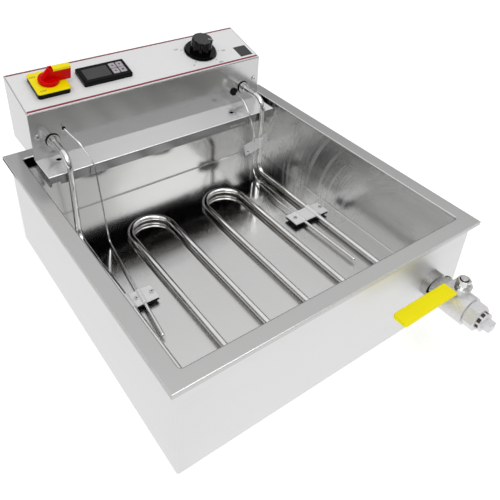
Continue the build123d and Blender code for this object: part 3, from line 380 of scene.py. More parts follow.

# %% [markdown]
# ## Painted shade under the shelf
# The rear wall under the shelf and the rear corners are painted near black: painted shade, which stands for
# the shade under the shelf, and the tank floor mirrors it as a black band. A decal could carry the dark
# band, but that needs a picture. The walls lie at known distances from the middle, so a mask takes all of
# the rear wall, and on the side walls it fades out past the corners.

# %% Walls where the shade is painted
# Where the walls and the rounded corners lie, in metres.
REAR_WALL = 0.239
SIDE_WALL = 0.2165
CORNER_FROM = 0.19
CORNER_TO = 0.225
where = add_node(tree, "ShaderNodeSeparateXYZ", {0: place}).outputs
at_rear = add_node(tree, "ShaderNodeMath", {0: where["Y"], 1: REAR_WALL},
                   operation="GREATER_THAN").outputs[0]
sideways = add_node(tree, "ShaderNodeMath", {0: where["X"]}, operation="ABSOLUTE").outputs[0]
at_side = add_node(tree, "ShaderNodeMath", {0: sideways, 1: SIDE_WALL}, operation="GREATER_THAN").outputs[0]
rearward = add_node(tree, "ShaderNodeMapRange",
                    {"Value": where["Y"], "From Min": CORNER_FROM, "From Max": CORNER_TO},
                    interpolation_type="SMOOTHSTEP").outputs[0]
at_corner = add_node(tree, "ShaderNodeMath", {0: at_side, 1: rearward}, operation="MULTIPLY").outputs[0]
on_wall = add_node(tree, "ShaderNodeMath", {0: at_rear, 1: at_corner}, operation="MAXIMUM").outputs[0]
print("oil bakes on more than", round(REAR_WALL / MM), "mm behind the middle")

# %% [markdown]
# ## The ragged edge of the painted shade
# The painted shade has a ragged lower edge, in runs. Runs could be modelled as drops, but they would be
# thinner than paper, so only the colour changes: the wall is dark above a level, and tall thin noise moves
# that level up and down by some millimetres. At the open left end of the shelf the level is higher.

# %% Painted shade band
RUN_WIDTH = 6 * MM
RUN_HEIGHT = 40 * MM
RUN_REACH = 7 * MM
# Heights of the painted shade's lower edge and of the rim's underside, and where the open end lies, in
# metres.
OIL_FROM = 0.111
OIL_FULL = 0.116
UNDER_RIM = 0.1575
OPEN_END_FROM = -0.185
OPEN_END_TO = -0.2
OPEN_END_RISE = 30 * MM
runs = add_node(tree, "ShaderNodeMapping",
                {"Vector": place, "Scale": (1 / RUN_WIDTH, 1 / RUN_WIDTH, 1 / RUN_HEIGHT)}).outputs[0]
runs = add_node(tree, "ShaderNodeTexNoise", {"Vector": runs, "Scale": 1.0, "Detail": 3.0}).outputs["Fac"]
level = add_node(tree, "ShaderNodeMath", {0: runs, 1: RUN_REACH, 2: where["Z"]},
                 operation="MULTIPLY_ADD").outputs[0]
open_end = add_node(tree, "ShaderNodeMapRange",
                    {"Value": where["X"], "From Min": OPEN_END_FROM, "From Max": OPEN_END_TO,
                     "To Max": OPEN_END_RISE}).outputs[0]
level = add_node(tree, "ShaderNodeMath", {0: level, 1: open_end}, operation="SUBTRACT").outputs[0]
above = add_node(tree, "ShaderNodeMapRange", {"Value": level, "From Min": OIL_FROM, "From Max": OIL_FULL},
                 interpolation_type="SMOOTHSTEP").outputs[0]
below_rim = add_node(tree, "ShaderNodeMath", {0: where["Z"], 1: UNDER_RIM},
                     operation="LESS_THAN").outputs[0]
# Painted shade: near black above the ragged level and below the rim's underside, on the rear wall and
# corners.
stain = add_node(tree, "ShaderNodeMath", {0: above, 1: below_rim}, operation="MULTIPLY").outputs[0]
baked_oil = add_node(tree, "ShaderNodeMath", {0: stain, 1: on_wall}, operation="MULTIPLY").outputs[0]
print("baked oil from", round(OIL_FROM / MM), "to", round(UNDER_RIM / MM), "mm up")

# %% [markdown]
# ## Arcs left by a cloth
# The side walls are scoured with a swinging arm, which leaves thin pale arcs about one corner. Scratches
# could be modelled or drawn as a bump, but on a mirror a bump hardly shows, while a duller line does. So the
# distance from the corner is fed to noise with one dimension, whose peaks are arcs about 10 mm apart, and a
# second noise lets them come and go in patches as wide as a hand.

# %% Wipe marks
WIPE_CENTRE = (0.2177, -0.16, 0.02)
WIPE_APART = 10 * MM
WIPE_PATCH = 110 * MM
WIPE_FROM = 120 * MM
WIPE_FULL = 180 * MM
ARC_EDGE = (0.56, 0.64)
PATCH_EDGE = (0.45, 0.62)
out_from = add_node(tree, "ShaderNodeVectorMath", {0: place, 1: WIPE_CENTRE}, operation="DISTANCE")
out_from = out_from.outputs["Value"]
swings = add_node(tree, "ShaderNodeMath", {0: out_from, 1: 1 / WIPE_APART}, operation="MULTIPLY").outputs[0]
arcs = add_node(tree, "ShaderNodeTexNoise", {"W": swings, "Scale": 1.0, "Detail": 0.5},
                noise_dimensions="1D").outputs["Fac"]
patches = add_node(tree, "ShaderNodeTexNoise", {"Vector": place, "Scale": 1 / WIPE_PATCH}).outputs["Fac"]
wiped = facing["X"]
for value, (low, high) in ((arcs, ARC_EDGE), (patches, PATCH_EDGE), (out_from, (WIPE_FROM, WIPE_FULL))):
    part = add_node(tree, "ShaderNodeMapRange", {"Value": value, "From Min": low, "From Max": high})
    wiped = add_node(tree, "ShaderNodeMath", {0: wiped, 1: part.outputs[0]}, operation="MULTIPLY").outputs[0]
print("arcs", round(WIPE_APART / MM), "mm apart, in patches of", round(WIPE_PATCH / MM), "mm")

# %% [markdown]
# ## How dull and how pale the tank is
# Scouring has dulled the front half of the tank floor most, where the heater's runs leave room for the hand,
# and the side walls more than the rear one. Separate materials would meet at hard seams, so one roughness
# is built up instead: every mask adds its own share to the grain's. The colours follow in the same way: the
# upright walls a shade darker than the floor, which is painted shade, the paler arcs, the brushed rim, a
# painted highlight on its rounded edge, and the near-black painted shade under the shelf.

# %% Tank roughness and colour
SCOURED_FROM = 0.07
SCOURED_FULL = -0.06
front = add_node(tree, "ShaderNodeMapRange", {"Value": where["Y"], "From Min": SCOURED_FROM,
                                              "From Max": SCOURED_FULL}).outputs[0]
scoured = add_node(tree, "ShaderNodeMath", {0: front, 1: facing["Z"]}, operation="MULTIPLY").outputs[0]
scoured = add_node(tree, "ShaderNodeMath", {0: scoured, 1: rim}, operation="SUBTRACT",
                   use_clamp=True).outputs[0]
# How much each mask adds to the roughness.
dulling = ((rim, 0.08), (lip, 0.3), (facing["X"], 0.16), (facing["Y"], 0.015), (wiped, 0.18),
           (scoured, 0.22))
roughness = shader.inputs["Roughness"].links[0].from_socket
for mask, more in dulling:
    roughness = add_node(tree, "ShaderNodeMath", {0: mask, 1: more, 2: roughness},
                         operation="MULTIPLY_ADD").outputs[0]
tree.links.new(roughness, shader.inputs["Roughness"])
# Upright walls darker than the floor are painted shade, the rim's edge near white a painted highlight.
tones = ((upright, "#E2E2E1"), (wiped, "#F4F4F4"), (rim, "#D6D6D5"), (rim_edge, "#FCFCFB"),
         (baked_oil, "#070503"))
tone = colour("#EAEAE9")
for mask, hex_code in tones:
    tone = add_node(tree, "ShaderNodeMix", {"Factor": mask, "A": tone, "B": colour(hex_code)},
                    data_type="RGBA").outputs["Result"]
tree.links.new(tone, shader.inputs["Base Color"])
print("tank worn by", len(dulling), "kinds of dulling and", len(tones), "tones")

# %% [markdown]
# ## A shelf with painted light on its top and painted shade below
# The shelf over the well is wiped every day, so its top is a little dull and under a thin film of oil, and
# it is painted pale as a painted highlight from the lamps above. Its front flange is painted darker and its
# underside darker still, both painted shade. It could be cut in three materials, but the way a face looks,
# up, down or ahead, tells the three apart, so two masks do it.

# %% Shelf wear
FACES_UP = 0.5
FACES_DOWN = -0.5
SHELF_DULLING = 0.04
SHELF_FILM = 0.75
tree, shader, place = opened("shelf_stainless")
normal = add_node(tree, "ShaderNodeNewGeometry").outputs["Normal"]
facing_z = add_node(tree, "ShaderNodeSeparateXYZ", {0: normal}).outputs["Z"]
on_top = add_node(tree, "ShaderNodeMath", {0: facing_z, 1: FACES_UP}, operation="GREATER_THAN").outputs[0]
below = add_node(tree, "ShaderNodeMath", {0: facing_z, 1: FACES_DOWN}, operation="LESS_THAN").outputs[0]
# Painted light and shade: the top paler, the front flange darker and the underside darker still.
tone = colour("#A8A8A8")
for mask, hex_code in ((on_top, "#FCFCFC"), (below, "#8C8A88")):
    tone = add_node(tree, "ShaderNodeMix", {"Factor": mask, "A": tone, "B": colour(hex_code)},
                    data_type="RGBA").outputs["Result"]
tree.links.new(tone, shader.inputs["Base Color"])
roughness = shader.inputs["Roughness"].links[0].from_socket
roughness = add_node(tree, "ShaderNodeMath", {0: on_top, 1: SHELF_DULLING, 2: roughness},
                     operation="MULTIPLY_ADD").outputs[0]
tree.links.new(roughness, shader.inputs["Roughness"])
film = add_node(tree, "ShaderNodeMapRange", {"Value": on_top, "To Min": 1.0, "To Max": SHELF_FILM})
tree.links.new(film.outputs[0], shader.inputs["Metallic"])
print("shelf top, flange and underside told apart")

# %% [markdown]
# ## Tube, turned steel and castings
# Round parts have no grain along a sheet: tube is drawn and polished, fasteners are turned and tumbled, and
# the valve is cast and blasted with beads. Each could have a noise of its own kind, but all of them show
# round specks of some size, so one recipe lets colour, roughness and relief follow specks, from the pits of
# a casting up to the slow drift of a polished tube. Blasted pits are about 0.2 mm wide, and are drawn close
# to 1 mm so that they show. Where a skin scatters light from all sides, its metallic value is low.

# %% Specked steel
SPECK_HEIGHT = 0.3 * MM
PITS_FROM = 0.6
PITS_FULL = 0.35


def specked_steel(name, hex_code, pit_code, smooth, rough, speck, bump, metal=1.0):
    """Steel whose colour, roughness and relief follow round specks of a given size in mm."""
    material, tree, shader, place, edge = new_finish(name)
    specks = add_node(tree, "ShaderNodeTexNoise", {"Vector": place, "Scale": 1 / (speck * MM),
                                                   "Detail": 4.0}).outputs["Fac"]
    roughness = add_node(tree, "ShaderNodeMapRange",
                         {"Value": specks, "From Min": NOISE_LOW, "From Max": NOISE_HIGH,
                          "To Min": smooth, "To Max": rough}).outputs[0]
    relief = add_node(tree, "ShaderNodeBump", {"Height": specks, "Strength": bump, "Distance": SPECK_HEIGHT,
                                               "Normal": edge}).outputs[0]
    pits = add_node(tree, "ShaderNodeMapRange", {"Value": specks, "From Min": PITS_FROM,
                                                 "From Max": PITS_FULL}).outputs[0]
    tone = add_node(tree, "ShaderNodeMix", {"Factor": pits, "A": colour(hex_code), "B": colour(pit_code)},
                    data_type="RGBA").outputs["Result"]
    tree.links.new(tone, shader.inputs["Base Color"])
    tree.links.new(roughness, shader.inputs["Roughness"])
    tree.links.new(relief, shader.inputs["Normal"])
    shader.inputs["Metallic"].default_value = metal
    return material


print("specks are", round(SPECK_HEIGHT / MM, 1), "mm high where the bump is full")

# %% [markdown]
# ## The fryer's tubes, fasteners and castings
# Heater, screws and valve are all stainless, and the eye tells them apart by how sharply they mirror. They
# could share one finish, but then the heater would be as dull as its clamps or the valve as bright as the
# heater. So each gets the roughness and the specks that the way of making it leaves.

# %% Tubes, fasteners and castings
# Element, capillaries and bulbs: drawn and polished, they show the room as thin black and white lines.
finishes["polished_tube"] = specked_steel("polished_stainless_tube", "#FFFFFE", "#F4F4F3", smooth=0.05,
                                          rough=0.10, speck=30.0, bump=0.02)
# Screws, fittings, stem and lever: turned or stamped and then tumbled, so bright with softened lights.
finishes["bright_hardware"] = specked_steel("tumbled_stainless_steel", "#E2E2E0", "#CFCFCD", smooth=0.07,
                                            rough=0.14, speck=4.0, bump=0.05)
# Valve and plug: cast and blasted with beads, so nearly white and matt, with fine pits.
finishes["cast_stainless"] = specked_steel("bead_blasted_cast_stainless", "#F0F0F2", "#D4D4D6", smooth=0.3,
                                           rough=0.42, speck=0.9, bump=0.3, metal=0.35)
# Drain pipe: drawn and pickled, a duller grey than the casting on it.
finishes["pipe_steel"] = specked_steel("pickled_stainless_pipe", "#BEBDBC", "#AEADAC", smooth=0.3,
                                       rough=0.45, speck=2.0, bump=0.1)
# Clamps and leg clip: satin rolled strip, pale from every side.
finishes["satin_strip"] = specked_steel("satin_rolled_stainless_strip", "#F6F6F6", "#EAEAEA", smooth=0.3,
                                        rough=0.42, speck=1.5, bump=0.1, metal=0.3)
# Screw recesses and the groove at the nut: near black as painted shade for these hollows, so they read as
# holes.
finishes["dark_recess"] = specked_steel("recess_painted_shade", "#262626", "#161616", smooth=0.45, rough=0.6,
                                        speck=0.5, bump=0.1)
# Sealant at the plug: thread compound that was wiped off, brown and lumpy.
finishes["pipe_sealant"] = specked_steel("wiped_thread_compound", "#4A3A2C", "#2A221C", smooth=0.5,
                                         rough=0.65, speck=0.8, bump=0.3, metal=0.0)
print(len(finishes), "finishes so far")

# %% [markdown]
# ## Painted shade on the heater's runs
# Near the tank floor the flanks and undersides of the heating tube are painted a darker grey than the bright
# top: painted shade. The runs could be cut off as a piece with a finish of its own, but the tube is one
# solid, so a mask takes all that lies low and looks down or aside.

# %% Shaded flanks
RUNS_BELOW = 0.052
FLANK_FROM = 0.25
FLANK_FULL = -0.25
tree, shader, place = opened("polished_tube")
height = add_node(tree, "ShaderNodeSeparateXYZ", {0: place}).outputs["Z"]
low_run = add_node(tree, "ShaderNodeMath", {0: height, 1: RUNS_BELOW}, operation="LESS_THAN").outputs[0]
normal = add_node(tree, "ShaderNodeNewGeometry").outputs["Normal"]
facing_z = add_node(tree, "ShaderNodeSeparateXYZ", {0: normal}).outputs["Z"]
flank = add_node(tree, "ShaderNodeMapRange", {"Value": facing_z, "From Min": FLANK_FROM,
                                              "From Max": FLANK_FULL}).outputs[0]
oxide = add_node(tree, "ShaderNodeMath", {0: flank, 1: low_run}, operation="MULTIPLY").outputs[0]
bright = shader.inputs["Base Color"].links[0].from_socket
# Painted shade: the low flanks and undersides are mixed towards a darker grey.
burnt = add_node(tree, "ShaderNodeMix", {"Factor": oxide, "A": bright, "B": colour("#C2C0BE")},
                 data_type="RGBA").outputs["Result"]
tree.links.new(burnt, shader.inputs["Base Color"])
print("runs below", round(RUNS_BELOW / MM), "mm have burnt flanks")

# %% [markdown]
# ## Plastics and rubber
# Sleeve, switch, knob, keys and feet are moulded or dipped, and such skins are never quite smooth: a shallow
# ripple bends their highlight, and their colour drifts a little. Plain colours would look like paint on a
# screen. A recipe per plastic could be written, but they differ only in colour, gloss and the size of the
# ripple, so one recipe makes them all. A matt mould's texture is about 0.1 mm wide, and is drawn close to
# 1 mm so that it shows.

# %% Moulded plastic
COLOUR_DRIFT = 25 * MM
RIPPLE_HEIGHT = 0.2 * MM
ROUGHER = 1.15
SMOOTHER = 0.85


def moulded(name, hex_code, drift_code, rough, ripple, bump, gloss=0.5):
    """Plastic or rubber with a slow drift of colour and a moulded ripple of a given size in mm."""
    material, tree, shader, place, edge = new_finish(name)
    slow = add_node(tree, "ShaderNodeTexNoise", {"Vector": place, "Scale": 1 / COLOUR_DRIFT,
                                                 "Detail": 2.0}).outputs["Fac"]
    tint = add_node(tree, "ShaderNodeMix", {"Factor": slow, "A": colour(hex_code), "B": colour(drift_code)},
                    data_type="RGBA").outputs["Result"]
    fine = add_node(tree, "ShaderNodeTexNoise", {"Vector": place, "Scale": 1 / (ripple * MM),
                                                 "Detail": 2.0}).outputs["Fac"]
    roughness = add_node(tree, "ShaderNodeMapRange",
                         {"Value": fine, "From Min": NOISE_LOW, "From Max": NOISE_HIGH,
                          "To Min": rough * SMOOTHER, "To Max": rough * ROUGHER}).outputs[0]
    relief = add_node(tree, "ShaderNodeBump", {"Height": fine, "Strength": bump, "Distance": RIPPLE_HEIGHT,
                                               "Normal": edge}).outputs[0]
    tree.links.new(tint, shader.inputs["Base Color"])
    tree.links.new(roughness, shader.inputs["Roughness"])
    tree.links.new(relief, shader.inputs["Normal"])
    shader.inputs["Specular IOR Level"].default_value = gloss
    return material


print("colour drifts over", round(COLOUR_DRIFT / MM), "mm")

# %% [markdown]
# ## The fryer's plastics
# Each is named for what it is and how it was made. All could share a black, a red and a yellow, but a dipped
# sleeve, a moulded plate and a pressed knob shine in different ways, and that is how the eye tells them
# apart. So each has its own roughness, ripple and gloss.

# %% Plastics and rubber
# Valve seats and packing: PTFE skived from a block, white and waxy.
finishes["white_seal"] = moulded("skived_ptfe", "#EFEFEA", "#E6E6E0", rough=0.45, ripple=2.0, bump=0.05)
# Feet, gaskets and grommets: nitrile rubber from a matt mould, which hardly shines.
finishes["black_rubber"] = moulded("moulded_nitrile_rubber", "#0A0A0A", "#121212", rough=0.65, ripple=0.8,
                                   bump=0.2, gloss=0.15)
# Lever sleeve: soft vinyl, dipped, a full yellow with a broad weak shine.
finishes["yellow_vinyl"] = moulded("dipped_yellow_vinyl", "#FFF500", "#FFEE00", rough=0.35, ripple=3.0,
                                   bump=0.05, gloss=0.2)
# Lock plate: powder coat baked on steel, black and half dull. Clamp bases: the same black, as painted shade
# under the clamp plates.
finishes["black_coated_steel"] = moulded("black_powder_coat_and_painted_shade", "#060606", "#0C0C0C", rough=0.4,
                                         ripple=1.0, bump=0.1, gloss=0.12)
# Control panel: polyester film with a fine rolled texture, which keeps it white without a glare.
finishes["printed_overlay"] = moulded("textured_polyester_film", "#F0F0F0", "#ECECEC", rough=0.5, ripple=0.8,
                                      bump=0.06)
# Switch base and controller case: ABS from a fine matt mould, black with a soft sheen.
finishes["black_plastic"] = moulded("moulded_black_abs", "#060608", "#0A0A0C", rough=0.3, ripple=0.8,
                                    bump=0.1, gloss=0.12)
# Thermostat knob: phenolic pressed in a polished mould, a deep black with small sharp lights.
finishes["gloss_black_plastic"] = moulded("pressed_black_phenolic", "#030303", "#060606", rough=0.06,
                                          ripple=6.0, bump=0.02, gloss=0.2)
# Switch plate and insert: ABS, moulded, a flat warning yellow.
finishes["yellow_plastic"] = moulded("moulded_yellow_abs", "#FFF000", "#FFEA00", rough=0.3, ripple=1.5,
                                     bump=0.04, gloss=0.2)
# Switch handle: ABS, moulded, a full red with a soft light on its ridge.
finishes["red_plastic"] = moulded("moulded_red_abs", "#E00000", "#D40000", rough=0.22, ripple=1.5, bump=0.04,
                                  gloss=0.12)
# Controller window: smoked acrylic, cast and polished, a dark pane with a pale glaze.
finishes["smoked_window"] = moulded("cast_smoked_acrylic", "#3E3E3E", "#343434", rough=0.2, ripple=2.0,
                                    bump=0.02)
# Controller keys: silicone rubber, moulded, grey and dull.
finishes["grey_keys"] = moulded("moulded_grey_silicone", "#B8B2B8", "#A8A2A8", rough=0.5, ripple=0.8,
                                bump=0.05)
print(len(finishes), "finishes")

# %% [markdown]
# ## Dress the solids
# Every solid takes the finish that the record names for it. They could be dressed one by one, but a loop
# over the record forgets none. A few differ to the eye though the record gives them one metal: the tank is
# bright, the head finer brushed and the shelf rubbed, the clamps are satin strips on black bases, whose
# black is painted shade under the plates, and the drain pipe is duller than the casting that it is screwed
# into.

# %% Dress the solids
OWN_FINISH = {"tank": "tank_stainless", "shelf": "shelf_stainless", "head_bottom_plate": "shelf_stainless",
              "head_shell": "head_stainless", "bulb_clamp_left": "satin_strip",
              "bulb_clamp_right": "satin_strip", "leg_clip": "satin_strip",
              "clamp_base_left": "black_coated_steel", "clamp_base_right": "black_coated_steel",
              "drain_coupling": "pipe_steel", "drain_nipple": "pipe_steel"}
for row in frame["record"]["subparts"]:
    name = row["node"]
    finish = OWN_FINISH.get(name, row["material_slot"])
    nodes[name].data.materials.clear()
    nodes[name].data.materials.append(finishes[finish])
print("dressed", len(nodes), "solids,", len(OWN_FINISH), "of them with a finish of their own")

# %% [markdown]
# ## Making and placing small pieces
# Print, symbols and recesses are thin flat marks on the fryer. They could be drawn in the materials, but a
# mark with a body of its own can be named, moved and exported. Each starts as one flat face, which is
# extruded to the thickness of ink. Its points are put in the frame's metres, so its origin stays at the
# frame's origin, and it rides on the body that carries it.

# %% Piece helpers
INK = 0.03


def add_piece(name, edit, finish, body):
    """Turn a bmesh into a dressed object that rides on a body."""
    mesh = bpy.data.meshes.new(name)
    bmesh.ops.recalc_face_normals(edit, faces=edit.faces)
    edit.to_mesh(mesh)
    edit.free()
    mesh.materials.append(finishes[finish])
    piece = bpy.data.objects.new(name, mesh)
    scene.collection.objects.link(piece)
    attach(piece, body)


def raised(edit, place):
    """Give a flat face the thickness of ink, and lay its underside on the plane of a placing matrix."""
    grown = bmesh.ops.extrude_face_region(edit, geom=list(edit.faces))
    top = [item for item in grown["geom"] if isinstance(item, bmesh.types.BMVert)]
    bmesh.ops.translate(edit, verts=top, vec=(0.0, 0.0, INK * MM))
    bmesh.ops.transform(edit, matrix=place, verts=edit.verts)
    return edit


def mark(outline, place):
    """A mark as thick as ink from an outline in mm."""
    edit = bmesh.new()
    edit.faces.new([edit.verts.new((x * MM, y * MM, 0.0)) for x, y in outline])
    return raised(edit, place)


def rectangle(x0, y0, x1, y1):
    """The corners of an upright rectangle."""
    return [(x0, y0), (x1, y0), (x1, y1), (x0, y1)]


print("marks are", INK, "mm thick")

# %% [markdown]
# ## Stripes on the control panel
# The panel slopes up to the back and carries coloured stripes, screen printed along its edges. Each could
# be placed by three coordinates, but on a slope that is hard to read. So the panel gets its own axes, along
# it, up the slope and out of it, and every mark is placed by two distances in millimetres. A plain dark
# square closes the row at the right.

# %% Panel stripes
SLOPE = math.radians(15.6)
PANEL_FOOT = Vector((0.0, 0.2241, 0.2365))
OVERLAY_TOP = 0.5
HALF_OVERLAY = 203.0
STRIPES = {"front_line": (0.4, 2.6, "white_ink"), "front_stripe": (2.6, 6.4, "red_ink"),
           "back_line": (88.3, 90.8, "red_ink")}
DARK_SQUARE = (173.5, 10.5, 198.5, 37.5)
panel_turn = Matrix.Rotation(SLOPE, 4, "X")
# Screen-printed inks: they dry matt, so they keep their tone where the film shines.
finishes["red_ink"] = moulded("screen_printed_red_ink", "#8E2B3D", "#862838", rough=0.45, ripple=0.8,
                              bump=0.05)
finishes["white_ink"] = moulded("screen_printed_white_ink", "#F4F2F2", "#EEECEC", rough=0.45, ripple=0.8,
                                bump=0.05)
finishes["dark_ink"] = moulded("screen_printed_dark_ink", "#3A3A3C", "#343436", rough=0.45, ripple=0.8,
                               bump=0.05)


def on_panel(x, u, lift=OVERLAY_TOP):
    """The placing matrix of a point on the panel, given along it, up its slope and out of it."""
    return Matrix.Translation(PANEL_FOOT) @ panel_turn @ Matrix.Translation(Vector((x, u, lift)) * MM)


for name, (low, high, ink) in STRIPES.items():
    add_piece(name, mark(rectangle(-HALF_OVERLAY, low, HALF_OVERLAY, high), on_panel(0, 0)), ink, "head")
add_piece("dark_square", mark(rectangle(*DARK_SQUARE), on_panel(0, 0)), "dark_ink", "head")
print(len(STRIPES), "stripes and a dark square")

# %% [markdown]
# ## The thermostat's scale
# Round the knob the panel has short ticks with numbers. The numbers could be drawn point by point, but a
# text curve already knows their shapes: it is given the thickness of ink, made a mesh, and only then put in
# place. Each tick is a rectangle that is turned about the knob's axis.

# %% Scale
DIAL = (112.0, 47.0)
DIAL_MARKS = {"0": 225, "100": 155, "200": 30, "300": -15, "400": -62}
# Ticks and numbers are this far from the knob's axis, in mm.
TICK = (30.5, -0.4, 34.0, 0.4)
NUMBER_OUT = 42.0
LETTER_HEIGHT = 4.0
CAPITAL_SHARE = 0.7
LETTER_STEPS = 3
MERGE = 0.001 * MM


def printed(text, place):
    """Letters as thick as ink, with the middle of their body at the origin of a placing matrix."""
    curve = bpy.data.curves.new("letters", "FONT")
    curve.body = text
    curve.size = LETTER_HEIGHT * MM / CAPITAL_SHARE
    curve.align_x = "CENTER"
    curve.align_y = "CENTER"
    curve.resolution_u = LETTER_STEPS
    curve.extrude = INK / 2 * MM
    holder = bpy.data.objects.new("letters", curve)
    scene.collection.objects.link(holder)
    mesh = bpy.data.meshes.new_from_object(holder)
    bpy.data.objects.remove(holder)
    edit = bmesh.new()
    edit.from_mesh(mesh)
    bmesh.ops.remove_doubles(edit, verts=edit.verts, dist=MERGE)
    bmesh.ops.transform(edit, matrix=place, verts=edit.verts)
    return edit


for text, degrees in DIAL_MARKS.items():
    angle = math.radians(degrees)
    around = on_panel(*DIAL) @ Matrix.Rotation(angle, 4, "Z")
    add_piece("tick_" + text, mark(rectangle(*TICK), around), "dark_ink", "head")
    number_place = on_panel(DIAL[0] + NUMBER_OUT * math.cos(angle), DIAL[1] + NUMBER_OUT * math.sin(angle),
                            OVERLAY_TOP + INK / 2)
    add_piece("number_" + text, printed(text, number_place), "dark_ink", "head")
print(len(DIAL_MARKS), "ticks and numbers")

# %% [markdown]
# ## The face of the knob
# The knob's top is glossy black and mirrors the pale ceiling, so between its ten flutes it is painted a
# dull dark grey, a painted reflection, and a pale line on it points to the scale. The knob's own faces could
# be given a second material, but the solids keep one each, so the face is a mark: a circle whose points are
# drawn in and out ten times round. Its height is read from the knob.

# %% Knob face
FLUTES = 10
FACE_STEPS = 120
FACE_RADIUS = 15.8
FLUTE_DEPTH = 0.9
INDEX_LINE = (9.0, -0.6, 16.0, 0.6)
INDEX_AT = math.radians(-25.0)
# Painted reflection: the face is greyer than the flanks, standing in for the ceiling mirrored in the glossy
# top.
finishes["knob_face"] = moulded("knob_top_painted_reflection", "#3A3A3A", "#323232", rough=0.3, ripple=1.0,
                                bump=0.05)
panel_out = panel_turn.to_3x3() @ Vector((0.0, 0.0, 1.0))
knob_points = [vert.co for vert in nodes["thermostat_knob"].data.vertices]
knob_top = max((point - PANEL_FOOT).dot(panel_out) for point in knob_points) / MM
edit = bmesh.new()
bmesh.ops.create_circle(edit, cap_ends=True, segments=FACE_STEPS, radius=FACE_RADIUS * MM)
for vert in edit.verts:
    angle = math.atan2(vert.co.y, vert.co.x)
    vert.co *= 1 + FLUTE_DEPTH / FACE_RADIUS * math.cos(FLUTES * angle)
add_piece("knob_face", raised(edit, on_panel(*DIAL, knob_top)), "knob_face", "knob")
index_place = on_panel(*DIAL, knob_top + INK) @ Matrix.Rotation(INDEX_AT, 4, "Z")
add_piece("knob_index", mark(rectangle(*INDEX_LINE), index_place), "white_ink", "knob")
print("knob face", round(knob_top, 2), "mm above the panel's foot")

# %% [markdown]
# ## Finding the screws
# Several screws share one solid, and each needs a recess of its own. Their places could be copied from the
# drawing, but then they would stay behind if a screw moved. So they are read from the solid: a copy of its
# mesh is merged, and its points are gathered screw by screw, along the edges that join them.

# %% Screws


def screws_in(name):
    """The boxes of the screws that share one solid, each as its low and its high corner."""
    edit = bmesh.new()
    edit.from_mesh(nodes[name].data)
    bmesh.ops.remove_doubles(edit, verts=edit.verts, dist=MERGE)
    waiting = set(edit.verts)
    boxes = []
    while waiting:
        screw = [waiting.pop()]
        for vert in screw:
            fresh = [side.other_vert(vert) for side in vert.link_edges if side.other_vert(vert) in waiting]
            waiting.difference_update(fresh)
            screw.extend(fresh)
        spread = [[vert.co[axis] for vert in screw] for axis in range(3)]
        boxes.append((Vector(map(min, spread)), Vector(map(max, spread))))
    edit.free()
    return sorted(boxes, key=lambda box: box[0][:])


screws = {name: screws_in(name) for name in ("head_screws", "clamp_screws")}
print({name: len(found) for name, found in screws.items()}, "screws found")

# %% [markdown]
# ## Screw recesses
# Every screw that can be seen has a cross recess. It could be cut into the head, but the solids are never
# changed here, so it is a thin black cross on top, painted shade for the shade in the recess. The screws on
# the front of the head look ahead and those on its cover look back, and the clamp screws look up.

# %% Cross recesses
HEAD_CROSS = (1.9, 0.45)
CLAMP_CROSS = (1.5, 0.4)
FORWARD = Matrix.Rotation(math.pi / 2, 4, "X")
BACKWARD = Matrix.Rotation(-math.pi / 2, 4, "X")


def cross(reach, half):
    """The outline of an upright cross with arms of a given reach and half width."""
    return [(reach, half), (half, half), (half, reach), (-half, reach), (-half, half), (-reach, half),
            (-reach, -half), (-half, -half), (-half, -reach), (half, -reach), (half, -half), (reach, -half)]


def joined(edits):
    """Several bmeshes put together in one."""
    whole = bmesh.new()
    for edit in edits:
        part = bpy.data.meshes.new("part")
        edit.to_mesh(part)
        edit.free()
        whole.from_mesh(part)
        bpy.data.meshes.remove(part)
    return whole


shell_depth = [vert.co.y for vert in nodes["head_shell"].data.vertices]
head_middle = (min(shell_depth) + max(shell_depth)) / 2
crosses = []
for low, high in screws["head_screws"]:
    centre = (low + high) / 2
    if centre.y < head_middle:
        seat = Matrix.Translation((centre.x, low.y, centre.z)) @ FORWARD
    else:
        seat = Matrix.Translation((centre.x, high.y, centre.z)) @ BACKWARD
    crosses.append(mark(cross(*HEAD_CROSS), seat))
for low, high in screws["clamp_screws"]:
    centre = (low + high) / 2
    crosses.append(mark(cross(*CLAMP_CROSS), Matrix.Translation((centre.x, centre.y, high.z))))
print(len(crosses), "cross recesses")
add_piece("cross_recesses", joined(crosses), "dark_recess", "head")

# %% [markdown]
# ## Sealant and lugs at the drain plug
# Where the plug enters the valve's end cap, a ring of dark sealant shows between pale lugs, behind a narrow
# collar. Rings could be cylinders cut from each other, but a ring is what a lathe makes: an outline of
# radius and height, spun about the drain's axis. A lug is such an outline too, spun by a few degrees only.
# The axis is read from the end cap.

# %% Plug details
LUGS = 9
LUG_SWEEP = 13.0
LUG_STEPS = 3
FULL_TURN = 360.0
RING_STEPS = 48
SEALANT = rectangle(11.8, 0.1, 12.6, 4.6)
LUG = rectangle(11.8, 0.05, 13.1, 4.8)
COLLAR = [(11.8, 4.7), (13.3, 4.7), (13.3, 6.6), (11.8, 6.9)]


def ring(outline, place, sweep=FULL_TURN, steps=RING_STEPS):
    """A ring, or a part of one: an outline of radius and height in mm, spun about a place's own Z."""
    edit = bmesh.new()
    corners = [edit.verts.new(Vector((radius, 0.0, height)) * MM) for radius, height in outline]
    face = edit.faces.new(corners)
    spun = [face]
    if sweep == FULL_TURN:
        spun = corners + list(face.edges)
        bmesh.ops.delete(edit, geom=[face], context="FACES_ONLY")
    bmesh.ops.spin(edit, geom=spun, axis=(0.0, 0.0, 1.0), angle=math.radians(sweep), steps=steps,
                   use_merge=sweep == FULL_TURN)
    bmesh.ops.transform(edit, matrix=place, verts=edit.verts)
    return edit


